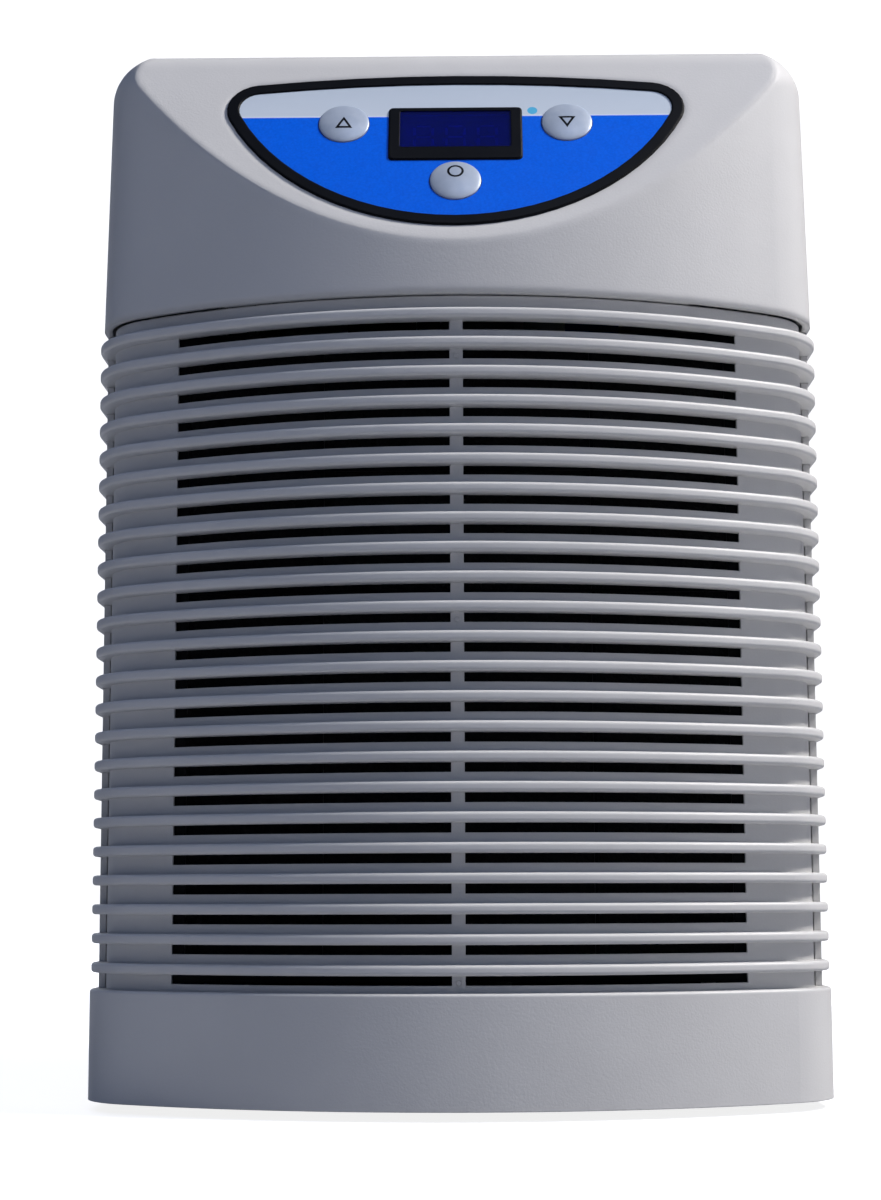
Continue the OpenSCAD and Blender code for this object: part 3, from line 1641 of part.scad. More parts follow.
// Four cables from the main board: to the compressor, the fan, the power inlet and the probe
module wiring_loom() {
  power_end = socket_back - pin_tail;
  color("#17181a") {
    translate([cable_comp_x, cable_comp_y, comp_z + terminal_rise + terminal_h])
      cylinder(r = cable_r, h = board2_z - comp_z - terminal_rise - terminal_h);
    translate([0, cable_fan_y, fan_z + motor_r])
      cylinder(r = cable_r, h = board2_z - fan_z - motor_r);
    swept_tube(rounded([[inlet_x, power_end, inlet_zc], [inlet_x, power_end - cable_dip, inlet_zc],
      [cable_power_x, cable_power_y, inlet_zc + cable_dip], [cable_power_x, cable_power_y, board2_z]],
      cable_bend, 5), cable_r, 12);
    swept_tube(rounded([[vessel_x + probe_off, vessel_y, cap_top + probe_head_h],
      [vessel_x + probe_off, vessel_y, cap_top + probe_head_h + cable_dip],
      [cable_probe_x, cable_probe_y, cap_top + probe_head_h + cable_dip],
      [cable_probe_x, cable_probe_y, board2_z]], cable_bend, 5), cable_r, 12);
  }
}

// Main board on the deck's posts, with edge connectors and two smoothing capacitors
module main_board() {
  color("#1f6b3c")
    difference() {
      translate([board2_x - board2_w / 2, board2_y - board2_d / 2, board2_z])
        cube([board2_w, board2_d, board_t]);
      for (p = board2_holes)
        translate([p[0], p[1], board2_z - cut])
          cylinder(r = small_r + slip, h = board_t + cut * 2);
    }
  color("#e6e3da")
    for (i = [0:3])
      translate([board2_x - board2_w / 2 + edge_gap * 3 + i * (connector_w + edge_gap),
        board2_y + board2_d / 2 - connector_d - edge_gap, board2_z + board_t / 2])
        cube([connector_w, connector_d, connector_h + board_t / 2]);
  color("#22303f")
    for (i = [0, 1])
      translate([board2_x + i * lead_cap_r * 3, board2_y, board2_z + board_t / 2])
        cylinder(r = lead_cap_r, h = lead_cap_h + board_t / 2);
}

// Transformer on the board: laminated core round a wound bobbin
module power_transformer() {
  x0 = board2_x - board2_w / 2 + edge_gap * 3;
  y0 = board2_y - trans_d / 2;
  z0 = board2_z + board_t;
  color("#5a5d61") {
    translate([x0, y0 + trans_d / 4, z0])
      cube([trans_w, trans_d / 2, trans_h]);
    translate([x0 + trans_w / 4, y0, z0 + trans_h / 5])
      cube([trans_w / 2, trans_d, trans_h * 3 / 5]);
  }
}

module compressor_relay() {
  color("#2159a8")
    translate([board2_x + board2_w / 2 - relay_w - edge_gap * 2, board2_y - relay_d / 2, board2_z + board_t])
      cube([relay_w, relay_d, relay_h]);
}

// Motor run capacitor standing on the deck in its clip, with two terminals
module run_capacitor() {
  z0 = deck_z + deck_t;
  color("#c9ccce") {
    translate([capac_x, capac_y, z0])
      rotate_extrude()
        polygon([[0, 0], [capac_r, 0], [capac_r, capac_h - capac_edge], [capac_r - capac_edge, capac_h],
          [0, capac_h]]);
    translate([capac_x, capac_y, z0])
      cylinder(r = capac_r + clip_t, h = clip_h);
    for (x = [-1, 1])
      translate([capac_x + x * capac_r / 3 - terminal_pin_w / 2, capac_y - terminal_pin / 2,
        z0 + capac_h - cut])
        cube([terminal_pin_w, terminal_pin, terminal_pin + cut]);
  }
}

// Appliance inlet in the rear panel: flange, deep socket and slots for three pins
module power_inlet() {
  body_w2 = socket_w + socket_wall * 2;
  body_h2 = socket_h + socket_wall * 2;
  face_y = panel_out + socket_flange_t;
  color("#1b1c1e")
    difference() {
      union() {
        facing_back(inlet_x, panel_out, inlet_zc)
          linear_extrude(socket_flange_t)
            soft_rect(body_w2 + socket_flange * 2, body_h2 + socket_flange * 2, socket_edge_r);
        facing_back(inlet_x, socket_back, inlet_zc)
          linear_extrude(panel_out - socket_back)
            square([body_w2, body_h2], center = true);
      }
      facing_back(inlet_x, face_y - socket_depth, inlet_zc)
        linear_extrude(socket_depth + cut)
          soft_rect(socket_w, socket_h, socket_in_r);
      for (p = pin_places)
        facing_back(inlet_x + p[0], socket_back - cut, inlet_zc + p[1])
          linear_extrude(socket_depth)
            square([pin_w + slip * 2, pin_h + slip * 2], center = true);
    }
}

module inlet_pins() {
  color("#c8b26a")
    for (p = pin_places)
      facing_back(inlet_x + p[0], socket_back - pin_tail, inlet_zc + p[1])
        linear_extrude(pin_tail + socket_wall * 2 + pin_len)
          square([pin_w, pin_h], center = true);
}

// One screw along Z with its head's underside at z = 0, pointing up
module screw(r, head_r, head_h, len) {
  difference() {
    union() {
      translate([0, 0, -head_h])
        cylinder(r = head_r, h = head_h);
      cylinder(r = r, h = len);
    }
    translate([0, 0, -head_h - cut])
      linear_extrude(head_h / 2 + cut)
        for (a = [0, 90])
          rotate(a)
            square([head_r, head_r / 4], center = true);
  }
}

// Four screws through the rear panel and four up through the deck into the cover
module case_screws() {
  color("#9c9fa2") {
    for (z = rear_screw_z, x = [-1, 1])
      translate([x * (rib_half - rear_screw_in), panel_out, z])
        rotate([90, 0, 0])
          screw(screw_r, screw_head_r, screw_head_h, screw_len);
    for (p = tower_places)
      translate([p[0], p[1], deck_z])
        screw(screw_r, screw_head_r, screw_head_h, screw_len);
  }
}

// Small screws: four hold the main board and four the display board
module board_screws() {
  color("#b3b5b7") {
    for (p = board2_holes)
      translate([p[0], p[1], board2_z + board_t])
        mirror([0, 0, 1])
          screw(small_r, small_head_r, small_head_h, small_len);
    for (p = board_holes)
      on_facet(p[0], p[1], -board_drop - board_t)
        screw(small_r, small_head_r, small_head_h, small_len);
  }
}

front_grille();
air_filter_frame();
air_filter_mesh();
top_cover();
left_side_panel();
right_side_panel();
rear_panel();
base_tray();
rubber_feet();
equipment_deck();
panel_gasket();
membrane_overlay();
display_bezel();
display_window();
led_display();
up_button();
down_button();
set_button();
display_board();
tact_switches();
display_ribbon();
condenser_fins();
condenser_tubes();
condenser_end_plates();
fan_shroud();
fan_impeller();
fan_shaft();
fan_motor();
fan_bracket();
compressor_shell();
compressor_feet();
compressor_grommets();
compressor_studs();
compressor_nuts();
terminal_cover();
discharge_line();
liquid_line();
filter_drier();
capillary_tube();
suction_line();
refrigerant_coil();
evaporator_vessel();
evaporator_cap();
cap_seal();
cap_bolts();
evaporator_insulation();
port_seals();
hose_tails();
inlet_nut();
outlet_nut();
temperature_probe();
wiring_loom();
main_board();
power_transformer();
compressor_relay();
run_capacitor();
power_inlet();
inlet_pins();
case_screws();
board_screws();
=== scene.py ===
import math

import bpy
import numpy as np
from mathutils import Matrix


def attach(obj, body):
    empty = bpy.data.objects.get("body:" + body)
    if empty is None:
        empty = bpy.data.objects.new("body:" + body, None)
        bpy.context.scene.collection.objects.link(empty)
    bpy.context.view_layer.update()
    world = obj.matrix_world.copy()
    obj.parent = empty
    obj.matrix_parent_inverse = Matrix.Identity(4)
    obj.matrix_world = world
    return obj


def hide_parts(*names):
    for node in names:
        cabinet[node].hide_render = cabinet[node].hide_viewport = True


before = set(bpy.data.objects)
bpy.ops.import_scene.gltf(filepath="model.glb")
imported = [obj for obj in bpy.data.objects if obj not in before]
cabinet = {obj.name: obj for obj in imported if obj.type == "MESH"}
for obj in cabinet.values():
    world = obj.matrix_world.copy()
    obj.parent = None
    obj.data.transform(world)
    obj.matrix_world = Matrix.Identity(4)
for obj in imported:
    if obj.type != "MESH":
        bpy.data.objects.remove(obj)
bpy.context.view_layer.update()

# The viewpoint.
# A long lens a little above the floor, about a metre in front, tipped up by seven degrees.
eye = (0.0051014, -1.1295, 0.0903)
yaw, pitch, roll = -0.0128, 0.1286, -0.0035
ahead = np.array([math.sin(yaw) * math.cos(pitch), math.cos(yaw) * math.cos(pitch), math.sin(pitch)])
level = np.array([math.cos(yaw), -math.sin(yaw), 0.0])
above = np.cross(level, ahead)
right = level * math.cos(roll) + above * math.sin(roll)
up = above * math.cos(roll) - level * math.sin(roll)
viewpoint = bpy.data.cameras.new("viewpoint")
viewpoint.sensor_fit, viewpoint.sensor_height, viewpoint.lens = "VERTICAL", 24.0, 45.685
viewpoint.clip_start, viewpoint.clip_end = 0.05, 50.0
stand = bpy.data.objects.new("viewpoint", viewpoint)
stand.matrix_world = Matrix([[right[i], up[i], -ahead[i], eye[i]] for i in range(3)] + [[0, 0, 0, 1]])
bpy.context.scene.collection.objects.link(stand)
scene = bpy.context.scene
scene.camera = stand
scene.view_settings.view_transform = "Standard"


# The room: a pale matt floor that rises into a backdrop, lit mostly from one side.
# A strong lamp stands high on the right, a weak one in front, a broad one behind the cabinet,
# and bluish walls give the rest.
def light_of(hex_colour):
    """The linear colour of an sRGB hex value: each channel c is c / 12.92 below 0.04045,
    else ((c + 0.055) / 1.055) to the power 2.4."""
    c = np.array([int(hex_colour[i:i + 2], 16) / 255 for i in (1, 3, 5)])
    linear = np.where(c <= 0.04045, c / 12.92, ((c + 0.055) / 1.055) ** 2.4)
    return (*linear.tolist(), 1.0)


def add(tree, kind, ins=None, **settings):
    """Adds a node, sets its settings, and gives each named input a value or a link."""
    made = tree.nodes.new(kind)
    for name, value in settings.items():
        setattr(made, name, value)
    for name, value in (ins or {}).items():
        if isinstance(value, bpy.types.NodeSocket):
            tree.links.new(value, made.inputs[name])
        else:
            made.inputs[name].default_value = value
    return made


def surface_mesh(name, points, *faces, smooth=True):
    """A mesh object at the origin from an array of points and one or more arrays of faces."""
    mesh = bpy.data.meshes.new(name)
    mesh.from_pydata(points.tolist(), [], [face for part in faces for face in part.tolist()])
    mesh.validate()
    mesh.polygons.foreach_set("use_smooth", np.full(len(mesh.polygons), smooth))
    made = bpy.data.objects.new(name, mesh)
    bpy.context.scene.collection.objects.link(made)
    return made


def grid_faces(rows, cols, close_rows=False, close_cols=False):
    """Quads between neighbouring points of a grid held row by row."""
    r = np.arange(rows if close_rows else rows - 1)
    c = np.arange(cols if close_cols else cols - 1)
    a, b = np.meshgrid(r, c, indexing="ij")
    a, b = a.ravel(), b.ravel()
    a1, b1 = (a + 1) % rows, (b + 1) % cols
    return np.stack([a * cols + b, a * cols + b1, a1 * cols + b1, a1 * cols + b], axis=1)


def seen_plainly(tree):
    """1 for a ray from the camera or through glass, and 0 for every other ray."""
    ray = add(tree, "ShaderNodeLightPath")
    return add(tree, "ShaderNodeMath", {0: ray.outputs["Is Camera Ray"], 1: ray.outputs["Is Transmission Ray"]},
               operation="MAXIMUM").outputs[0]


# Floor and backdrop in one sheet: y runs back, and the height follows a quarter circle behind.
floor_x = np.linspace(-6.0, 6.0, 13)
bend = np.linspace(0.0, math.pi / 2, 17)
bend_y, bend_r = 3.0, 2.0
floor_y = np.concatenate([[-6.0, -1.0, 0.5, 2.0], bend_y + bend_r * np.sin(bend), [5.0, 5.0]])
floor_z = np.concatenate([[0.0] * 4, bend_r - bend_r * np.cos(bend), [4.0, 8.0]])
gx, gy = np.meshgrid(floor_x, floor_y, indexing="ij")
gz = np.broadcast_to(floor_z, gy.shape)
sweep = surface_mesh("sweep_floor", np.stack([gx, gy, gz], axis=2).reshape(-1, 3),
                     grid_faces(len(floor_x), len(floor_y))[:, ::-1])
paint = bpy.data.materials.new("matt white paper")
paint.use_nodes = True
tree = paint.node_tree
tree.nodes.clear()
seen = seen_plainly(tree)
matt = add(tree, "ShaderNodeBsdfDiffuse", {"Color": light_of("#9c9ea3")})
# The paper is a shade darker in front of the cabinet than behind it.
far = add(tree, "ShaderNodeSeparateXYZ", {0: add(tree, "ShaderNodeTexCoord").outputs["Object"]}).outputs["Y"]
far = add(tree, "ShaderNodeMapRange", {"Value": far, "From Min": 0.1, "From Max": 1.2, "To Min": 0.85,
                                       "To Max": 1.0}).outputs["Result"]
glow = add(tree, "ShaderNodeEmission", {"Color": light_of("#ffffff"), "Strength": far})
both = add(tree, "ShaderNodeAddShader", {0: matt.outputs[0], 1: glow.outputs[0]})
pick = add(tree, "ShaderNodeMixShader", {0: seen, 1: matt.outputs[0], 2: both.outputs[0]})
add(tree, "ShaderNodeOutputMaterial", {"Surface": pick.outputs[0]})
sweep.data.materials.append(paint)

room = bpy.data.worlds.new("room")
scene.world = room
room.use_nodes = True
tree = room.node_tree
tree.nodes.clear()
seen = seen_plainly(tree)
walls = add(tree, "ShaderNodeBackground", {"Color": light_of("#aac3f8"), "Strength": 0.16})
white = add(tree, "ShaderNodeBackground", {"Color": (1, 1, 1, 1), "Strength": 1.0})
pick = add(tree, "ShaderNodeMixShader", {0: seen, 1: walls.outputs[0], 2: white.outputs[0]})
add(tree, "ShaderNodeOutputWorld", {"Surface": pick.outputs[0]})

# The lamp behind is kept out of reflections, or it would glare off the cover's level top.
for name, place, aim, size, watts, tint in (
        ("sun_side", (2.37, -0.61, 2.75), (0.0, -0.05, 0.25), 0.7, 160.0, "#fffaf5"),
        ("sky_front", (0.4, -1.8, 2.5), (0.0, -0.1, 0.35), 1.2, 11.0, "#d4e0ff"),
        ("back_side", (-1.2, 2.7, 1.2), (0.0, 0.1, 0.22), 1.6, 80.0, "#f1f5ff")):
    lamp = bpy.data.lights.new(name, "AREA")
    lamp.shape, lamp.size, lamp.energy = "SQUARE", size, watts
    lamp.color = light_of(tint)[:3]
    holder = bpy.data.objects.new(name, lamp)
    holder.visible_glossy = name != "back_side"
    back = np.array(place) - np.array(aim)
    back /= np.linalg.norm(back)
    side = np.cross((0.0, 0.0, 1.0), back)
    side /= np.linalg.norm(side)
    top = np.cross(back, side)
    holder.matrix_world = Matrix([[side[i], top[i], back[i], place[i]] for i in range(3)] + [[0, 0, 0, 1]])
    scene.collection.objects.link(holder)


# Cabinet mouldings: the louvred grille, control cover, two sides, rear panel and base.
# Injection-moulded ABS in a light grey, from a spark-textured tool, screwed together.
def new_finish(name):
    """An empty material: its tree, its shader, its Object coordinates and its output."""
    made = bpy.data.materials.new(name)
    made.use_nodes = True
    tree = made.node_tree
    tree.nodes.clear()
    place = add(tree, "ShaderNodeTexCoord").outputs["Object"]
    shader = add(tree, "ShaderNodeBsdfPrincipled")
    add(tree, "ShaderNodeOutputMaterial", {"Surface": shader.outputs[0]})
    return made, tree, shader, place


def cloud(tree, place, size_mm, detail=2.0, rough=0.5):
    """A noise whose patches are about size_mm across."""
    return add(tree, "ShaderNodeTexNoise", {"Vector": place, "Scale": 1000.0 / size_mm, "Detail": detail,
                                           "Roughness": rough}).outputs["Fac"]


def spread(tree, value, low, high, start=0.3, end=0.7):
    """A value between start and end stretched to run from low to high."""
    return add(tree, "ShaderNodeMapRange", {"Value": value, "From Min": start, "From Max": end,
                                            "To Min": low, "To Max": high}).outputs["Result"]


def two_tone(tree, share, first, second):
    """A mix of two colours, by a share that runs from 0 to 1."""
    return add(tree, "ShaderNodeMix", {0: share, 6: first, 7: second}, data_type="RGBA").outputs[2]


def corner_share(tree, radius_mm):
    """How far the surface turns within radius_mm: 0 on a flat, towards 1 on an edge."""
    turned = add(tree, "ShaderNodeBevel", {"Radius": radius_mm / 1000}, samples=4).outputs["Normal"]
    flat = add(tree, "ShaderNodeNewGeometry").outputs["Normal"]
    same = add(tree, "ShaderNodeVectorMath", {0: turned, 1: flat}, operation="DOT_PRODUCT").outputs["Value"]
    return spread(tree, same, 1.0, 0.0, 0.80, 1.0), turned


def grained(tree, height, depth_mm, normal=None):
    """A bump of the given depth, over an optional softened normal."""
    ins = {"Height": height, "Distance": depth_mm / 1000, "Strength": 1.0}
    if normal is not None:
        ins["Normal"] = normal
    return add(tree, "ShaderNodeBump", ins).outputs["Normal"]


def dress(material, *names):
    """Gives CAD solids their finish through their own material slots."""
    for name in names:
        slots = cabinet[name].data.materials
        slots.clear()
        slots.append(material)


def moulded(name, tone, tone_worn, grain_mm, depth_mm, rough, edge_mm, mottle=0.5, specular=0.5):
    """Moulded plastic: two close tones in wide clouds, a spark-eroded grain, edges rubbed smoother.
    The real grain is about a third of a millimetre, too fine to show, so it is drawn about three times that."""
    made, tree, shader, place = new_finish(name)
    edge, soft = corner_share(tree, edge_mm)
    patches = spread(tree, cloud(tree, place, 55.0, 3.0), 0.0, mottle)
    base = two_tone(tree, patches, light_of(tone), light_of(tone_worn))
    rubbed = add(tree, "ShaderNodeMath", {0: edge, 1: cloud(tree, place, 9.0)}, operation="MULTIPLY").outputs[0]
    base = two_tone(tree, rubbed, base, light_of(tone_worn))
    tree.links.new(base, shader.inputs["Base Color"])
    sheen = spread(tree, cloud(tree, place, 14.0), rough - 0.05, rough + 0.05)
    tree.links.new(sheen, shader.inputs["Roughness"])
    grain = cloud(tree, place, grain_mm, 2.0, 0.6)
    tree.links.new(grained(tree, grain, depth_mm, soft), shader.inputs["Normal"])
    shader.inputs["IOR"].default_value = 1.53
    shader.inputs["Specular IOR Level"].default_value = specular
    return made


cabinet_grey = moulded("ABS, light grey, spark textured", "#cccccc", "#d7d7d7", 1.0, 0.06, 0.46, 0.7)
dress(cabinet_grey, "front_grille", "left_side_panel", "right_side_panel", "rear_panel", "base_tray")
cover_grey = moulded("ABS, light grey, cover with soft creases", "#cdcdcd", "#d4d4d4", 1.0, 0.06, 0.44, 5.0,
                     specular=0.35)
dress(cover_grey, "top_cover")

# Black and charcoal mouldings: panel gasket, display bezel, filter frame, fan parts and small covers.
# Glass-filled nylon and ABS from smoother tools, with a satin face.
satin_black = moulded("ABS, satin black", "#05060a", "#0d0f14", 0.7, 0.008, 0.42, 0.5, 0.4, specular=0.12)
dress(satin_black, "panel_gasket", "display_bezel", "air_filter_frame")
charcoal = moulded("nylon, glass filled, charcoal", "#232528", "#33363a", 0.8, 0.016, 0.52, 0.5)
dress(charcoal, "tact_switches", "fan_shroud", "fan_impeller", "terminal_cover", "power_inlet")


# Control panel film: a printed polyester film, pale along the top and blue below the printed line.
# It is screen printed on its back and stuck in the gasket, so its face is even and faintly pearled.
facet_lean = math.radians(63.2)
facet_foot = np.array([0.0, -0.196, 0.3615])
across = np.array([1.0, 0.0, 0.0])
upslope = np.array([0.0, math.cos(facet_lean), math.sin(facet_lean)])
outwards = np.array([0.0, -math.sin(facet_lean), math.cos(facet_lean)])
band_line, band_blur, film_top = 0.0762, 0.00015, 0.101
white_line = 0.0004
lamp_x, lamp_s, lamp_r, lamp_edge = 0.0338, 0.0792, 0.0021, 0.0024
film, tree, shader, place = new_finish("polyester film, printed blue and pale")
rise = add(tree, "ShaderNodeVectorMath", {0: place, 1: tuple(upslope)}, operation="DOT_PRODUCT")
rise = add(tree, "ShaderNodeMath", {0: rise.outputs["Value"], 1: float(facet_foot @ upslope)},
           operation="SUBTRACT").outputs[0]
pale = spread(tree, rise, 0.0, 1.0, band_line - band_blur, band_line + band_blur)
line = add(tree, "ShaderNodeMath", {0: rise, 1: band_line, 2: white_line}, operation="COMPARE").outputs[0]
dots = cloud(tree, place, 1.1, 1.0)
deep = two_tone(tree, spread(tree, dots, 0.0, 1.0), light_of("#005ce0"), light_of("#0266ec"))
wash = two_tone(tree, spread(tree, rise, 0.0, 1.0, band_line, film_top), light_of("#c6d1df"),
                light_of("#bac7d6"))
ink = two_tone(tree, pale, deep, wash)
ink = two_tone(tree, add(tree, "ShaderNodeMath", {0: line, 1: 0.55}, operation="MULTIPLY").outputs[0],
               ink, light_of("#eef3fa"))
lamp_at = facet_foot + across * lamp_x + upslope * lamp_s
reach = add(tree, "ShaderNodeVectorMath", {0: place, 1: tuple(lamp_at)}, operation="DISTANCE").outputs["Value"]
dot = spread(tree, reach, 1.0, 0.0, lamp_r, lamp_edge)
ink = two_tone(tree, dot, ink, light_of("#58b4dd"))
tree.links.new(ink, shader.inputs["Base Color"])
tree.links.new(spread(tree, cloud(tree, place, 6.0), 0.30, 0.38), shader.inputs["Roughness"])
tree.links.new(grained(tree, cloud(tree, place, 0.8, 1.0), 0.004), shader.inputs["Normal"])
shader.inputs["IOR"].default_value = 1.57
shader.inputs["Specular IOR Level"].default_value = 0.12
dress(film, "membrane_overlay")

# Display window: smoke-blue acrylic let into the bezel, in front of the number display.
# It is polished, so it mirrors the room, and so dark that the unlit digits only just show.
window, tree, shader, place = new_finish("acrylic, polished, smoke blue")
tint = two_tone(tree, spread(tree, cloud(tree, place, 30.0), 0.0, 1.0), light_of("#0c22b4"),
                light_of("#0a1ca0"))
tree.links.new(tint, shader.inputs["Base Color"])
tree.links.new(spread(tree, cloud(tree, place, 12.0), 0.03, 0.07), shader.inputs["Roughness"])
shader.inputs["Transmission Weight"].default_value = 0.86
shader.inputs["Specular IOR Level"].default_value = 0.3
shader.inputs["IOR"].default_value = 1.49
dress(window, "display_window")

# Number display: an epoxy-filled black block with three sunk seven-segment digits.
# The unlit segments are milky, so they show a shade lighter than the block.
display, tree, shader, place = new_finish("epoxy, black, with milky segments")
depth = add(tree, "ShaderNodeVectorMath", {0: place, 1: tuple(outwards)}, operation="DOT_PRODUCT")
depth = add(tree, "ShaderNodeMath", {0: depth.outputs["Value"], 1: float(facet_foot @ outwards)},
            operation="SUBTRACT").outputs[0]
segment_floor, block_face = -0.00470, -0.00450
sunk = spread(tree, depth, 1.0, 0.0, segment_floor, block_face)
tone = two_tone(tree, sunk, light_of("#0b0c12"), light_of("#9da3c0"))
tree.links.new(tone, shader.inputs["Base Color"])
tree.links.new(spread(tree, cloud(tree, place, 5.0), 0.38, 0.46), shader.inputs["Roughness"])
tree.links.new(grained(tree, cloud(tree, place, 0.6), 0.006), shader.inputs["Normal"])
dress(display, "led_display")

# The three push buttons: shallow domed caps in pearl grey that move in the panel.
# Moulded in grey acetal, satin, each with a skirt and a stem that reaches its switch.
pearl, tree, shader, place = new_finish("acetal, pearl grey, satin")
edge, soft = corner_share(tree, 0.5)
milky_tone_and_rim_highlight = two_tone(tree, spread(tree, cloud(tree, place, 5.0, 3.0), 0.0, 1.0), light_of("#a6b3c6"),
                 light_of("#b2bdcd"))
# The caps' edges are painted a paler blue-grey: a painted highlight along their rims.
milky_tone_and_rim_highlight = two_tone(tree, edge, milky_tone_and_rim_highlight, light_of("#c3ccd8"))
tree.links.new(milky_tone_and_rim_highlight, shader.inputs["Base Color"])
tree.links.new(spread(tree, cloud(tree, place, 3.0), 0.33, 0.41), shader.inputs["Roughness"])
tree.links.new(grained(tree, cloud(tree, place, 0.7), 0.006, soft), shader.inputs["Normal"])
shader.inputs["Metallic"].default_value = 0.15
shader.inputs["IOR"].default_value = 1.48
key_x, key_s, set_s = 0.0488, 0.0717, 0.0370
up_at, down_at, set_at = (-key_x, key_s), (key_x, key_s), (0.0, set_s)
cap_r, cap_rim, cap_rise, rim_drop = 0.0110, 0.0008, 0.0017, 0.0004
stem_r, stem_foot = 0.003, -0.0063
skirt_r, skirt_under, skirt_top = 0.0126, -0.0047, -0.0033


def cap_height(r):
    """How high a cap stands over the panel at radius r: rim + rise * (1 - (r / cap_r)^2) ^ 0.75."""
    return cap_rim + cap_rise * np.clip(1 - (r / cap_r) ** 2, 0, 1) ** 0.75


def on_panel(centre, u, v, w):
    """Points across by u, upslope by v and out by w from a place on the panel."""
    return (facet_foot + np.multiply.outer(centre[0] + u, across) + np.multiply.outer(centre[1] + v, upslope)
            + np.multiply.outer(w, outwards))


def button_cap(name, node, centre):
    """A profile of stem, skirt, rim and dome, turned about the button's axis and closed at both ends."""
    dome = cap_r * np.cos(np.linspace(0.0, math.pi / 2, 20)[:-1])
    r = np.concatenate([[stem_r, stem_r, skirt_r, skirt_r, cap_r, cap_r], dome])
    w = np.concatenate([[stem_foot, skirt_under, skirt_under, skirt_top, skirt_top, cap_rim - rim_drop],
                        cap_height(dome)])
    turn = np.linspace(0.0, 2 * math.pi, 96, endpoint=False)
    rings = on_panel(centre, np.outer(r, np.cos(turn)), np.outer(r, np.sin(turn)),
                     np.broadcast_to(w[:, None], (len(r), len(turn))))
    ends = on_panel(centre, np.zeros(2), np.zeros(2), np.array([w[0], cap_rim + cap_rise]))
    points = np.concatenate([rings.reshape(-1, 3), ends])
    first = np.arange(len(turn))
    after = np.roll(first, -1)
    top = (len(r) - 1) * len(turn)
    pole = np.full(len(turn), len(points) - 2)
    made = surface_mesh(name, points, grid_faces(len(r), len(turn), close_cols=True),
                        np.stack([pole, after, first], axis=1),
                        np.stack([pole + 1, top + first, top + after], axis=1))
    made.data.materials.append(pearl)
    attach(made, node)
    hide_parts(node)


button_cap("up_cap", "up_button", up_at)
button_cap("down_cap", "down_button", down_at)
button_cap("set_cap", "set_button", set_at)


# Signs printed on the caps: an upward and a downward triangle, and a ring, in black ink.
# Each is a thin raised line that follows the cap's dome, and it moves with its button.
line_width, line_top, line_foot = 0.00100, 3e-5, -2e-5


def printed_line(name, node, centre, path):
    """A closed printed line: the path moved in and out by half the width, given a top, a foot and sides.
    At a corner the move is along the bisector, longer by one over the cosine of half the turn."""
    ahead = np.roll(path, -1, axis=0) - path
    ahead /= np.linalg.norm(ahead, axis=1, keepdims=True)
    behind = np.roll(ahead, 1, axis=0)
    side = np.stack([ahead[:, 1] + behind[:, 1], -(ahead[:, 0] + behind[:, 0])], axis=1)
    side /= np.sum(side ** 2, axis=1, keepdims=True) / 2
    inner, outer = path - side * line_width / 2, path + side * line_width / 2
    rings = [(outer, line_foot), (outer, line_top), (inner, line_top), (inner, line_foot)]
    points = np.stack([on_panel(centre, p[:, 0], p[:, 1], cap_height(np.hypot(p[:, 0], p[:, 1])) + lift)
                       for p, lift in rings], axis=1)
    made = surface_mesh(name, points.reshape(-1, 3), grid_faces(len(path), 4, True, True), smooth=False)
    made.data.materials.append(black_ink)
    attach(made, node)


black_ink, tree, shader, place = new_finish("pad-printing ink, black")
worn = two_tone(tree, spread(tree, cloud(tree, place, 0.8), 0.0, 1.0), light_of("#020308"),
                light_of("#090b12"))
tree.links.new(worn, shader.inputs["Base Color"])
tree.links.new(spread(tree, cloud(tree, place, 1.5), 0.42, 0.55), shader.inputs["Roughness"])
shader.inputs["Specular IOR Level"].default_value = 0.15


def stepped(corners, pieces):
    """The sides of a closed outline cut into equal pieces, so that a line can follow a dome."""
    share = np.arange(pieces) / pieces
    nxt = np.roll(corners, -1, axis=0)
    return (corners[:, None] + (nxt - corners)[:, None] * share[None, :, None]).reshape(-1, 2)


triangle = np.array([[-0.0029, -0.0037], [0.0029, -0.0037], [0.0, 0.0014]])
printed_line("up_sign", "up_button", up_at, stepped(triangle, 6))
printed_line("down_sign", "down_button", down_at, stepped(triangle[::-1] * [1, -1] - [0.0, 0.0024], 6))
turn = np.linspace(0.0, 2 * math.pi, 48, endpoint=False)
ring = np.stack([0.0031 * np.cos(turn), 0.0040 + 0.0033 * np.sin(turn)], axis=1)
printed_line("set_sign", "set_button", set_at, ring)

# Air filter: open-cell polyether foam pads in the frame behind the louvres.
# The foam is torn open at its face, so it is dull, black and full of pores of about a millimetre.
foam, tree, shader, place = new_finish("polyether foam, open cell, black")
cells = add(tree, "ShaderNodeTexVoronoi", {"Vector": place, "Scale": 1000.0 / 1.3}).outputs["Distance"]
# The pits of the pores are painted darker than their rims: painted shade in the pores.
tree.links.new(two_tone(tree, spread(tree, cells, 0.0, 1.0, 0.1, 0.6), light_of("#050506"),
                        light_of("#0e0f10")), shader.inputs["Base Color"])
tree.links.new(spread(tree, cells, 0.85, 1.0, 0.0, 1.0), shader.inputs["Roughness"])
tree.links.new(grained(tree, cells, 0.5), shader.inputs["Normal"])
dress(foam, "air_filter_mesh")


# Rubber parts: the feet, the compressor's grommets and the seals.
# Moulded nitrile rubber with a dull bloom and a little dust where it is handled.
def rubber(name, tone, dusty, rough):
    """Moulded rubber: a dull ground with wide pale bloom and a fine grain."""
    made, tree, shader, place = new_finish(name)
    bloom = spread(tree, cloud(tree, place, 11.0, 5.0), 0.0, 0.7, 0.45, 0.75)
    tree.links.new(two_tone(tree, bloom, light_of(tone), light_of(dusty)), shader.inputs["Base Color"])
    tree.links.new(spread(tree, cloud(tree, place, 6.0), rough - 0.06, rough + 0.06),
                   shader.inputs["Roughness"])
    tree.links.new(grained(tree, cloud(tree, place, 0.8), 0.02), shader.inputs["Normal"])
    shader.inputs["Specular IOR Level"].default_value = 0.4
    return made


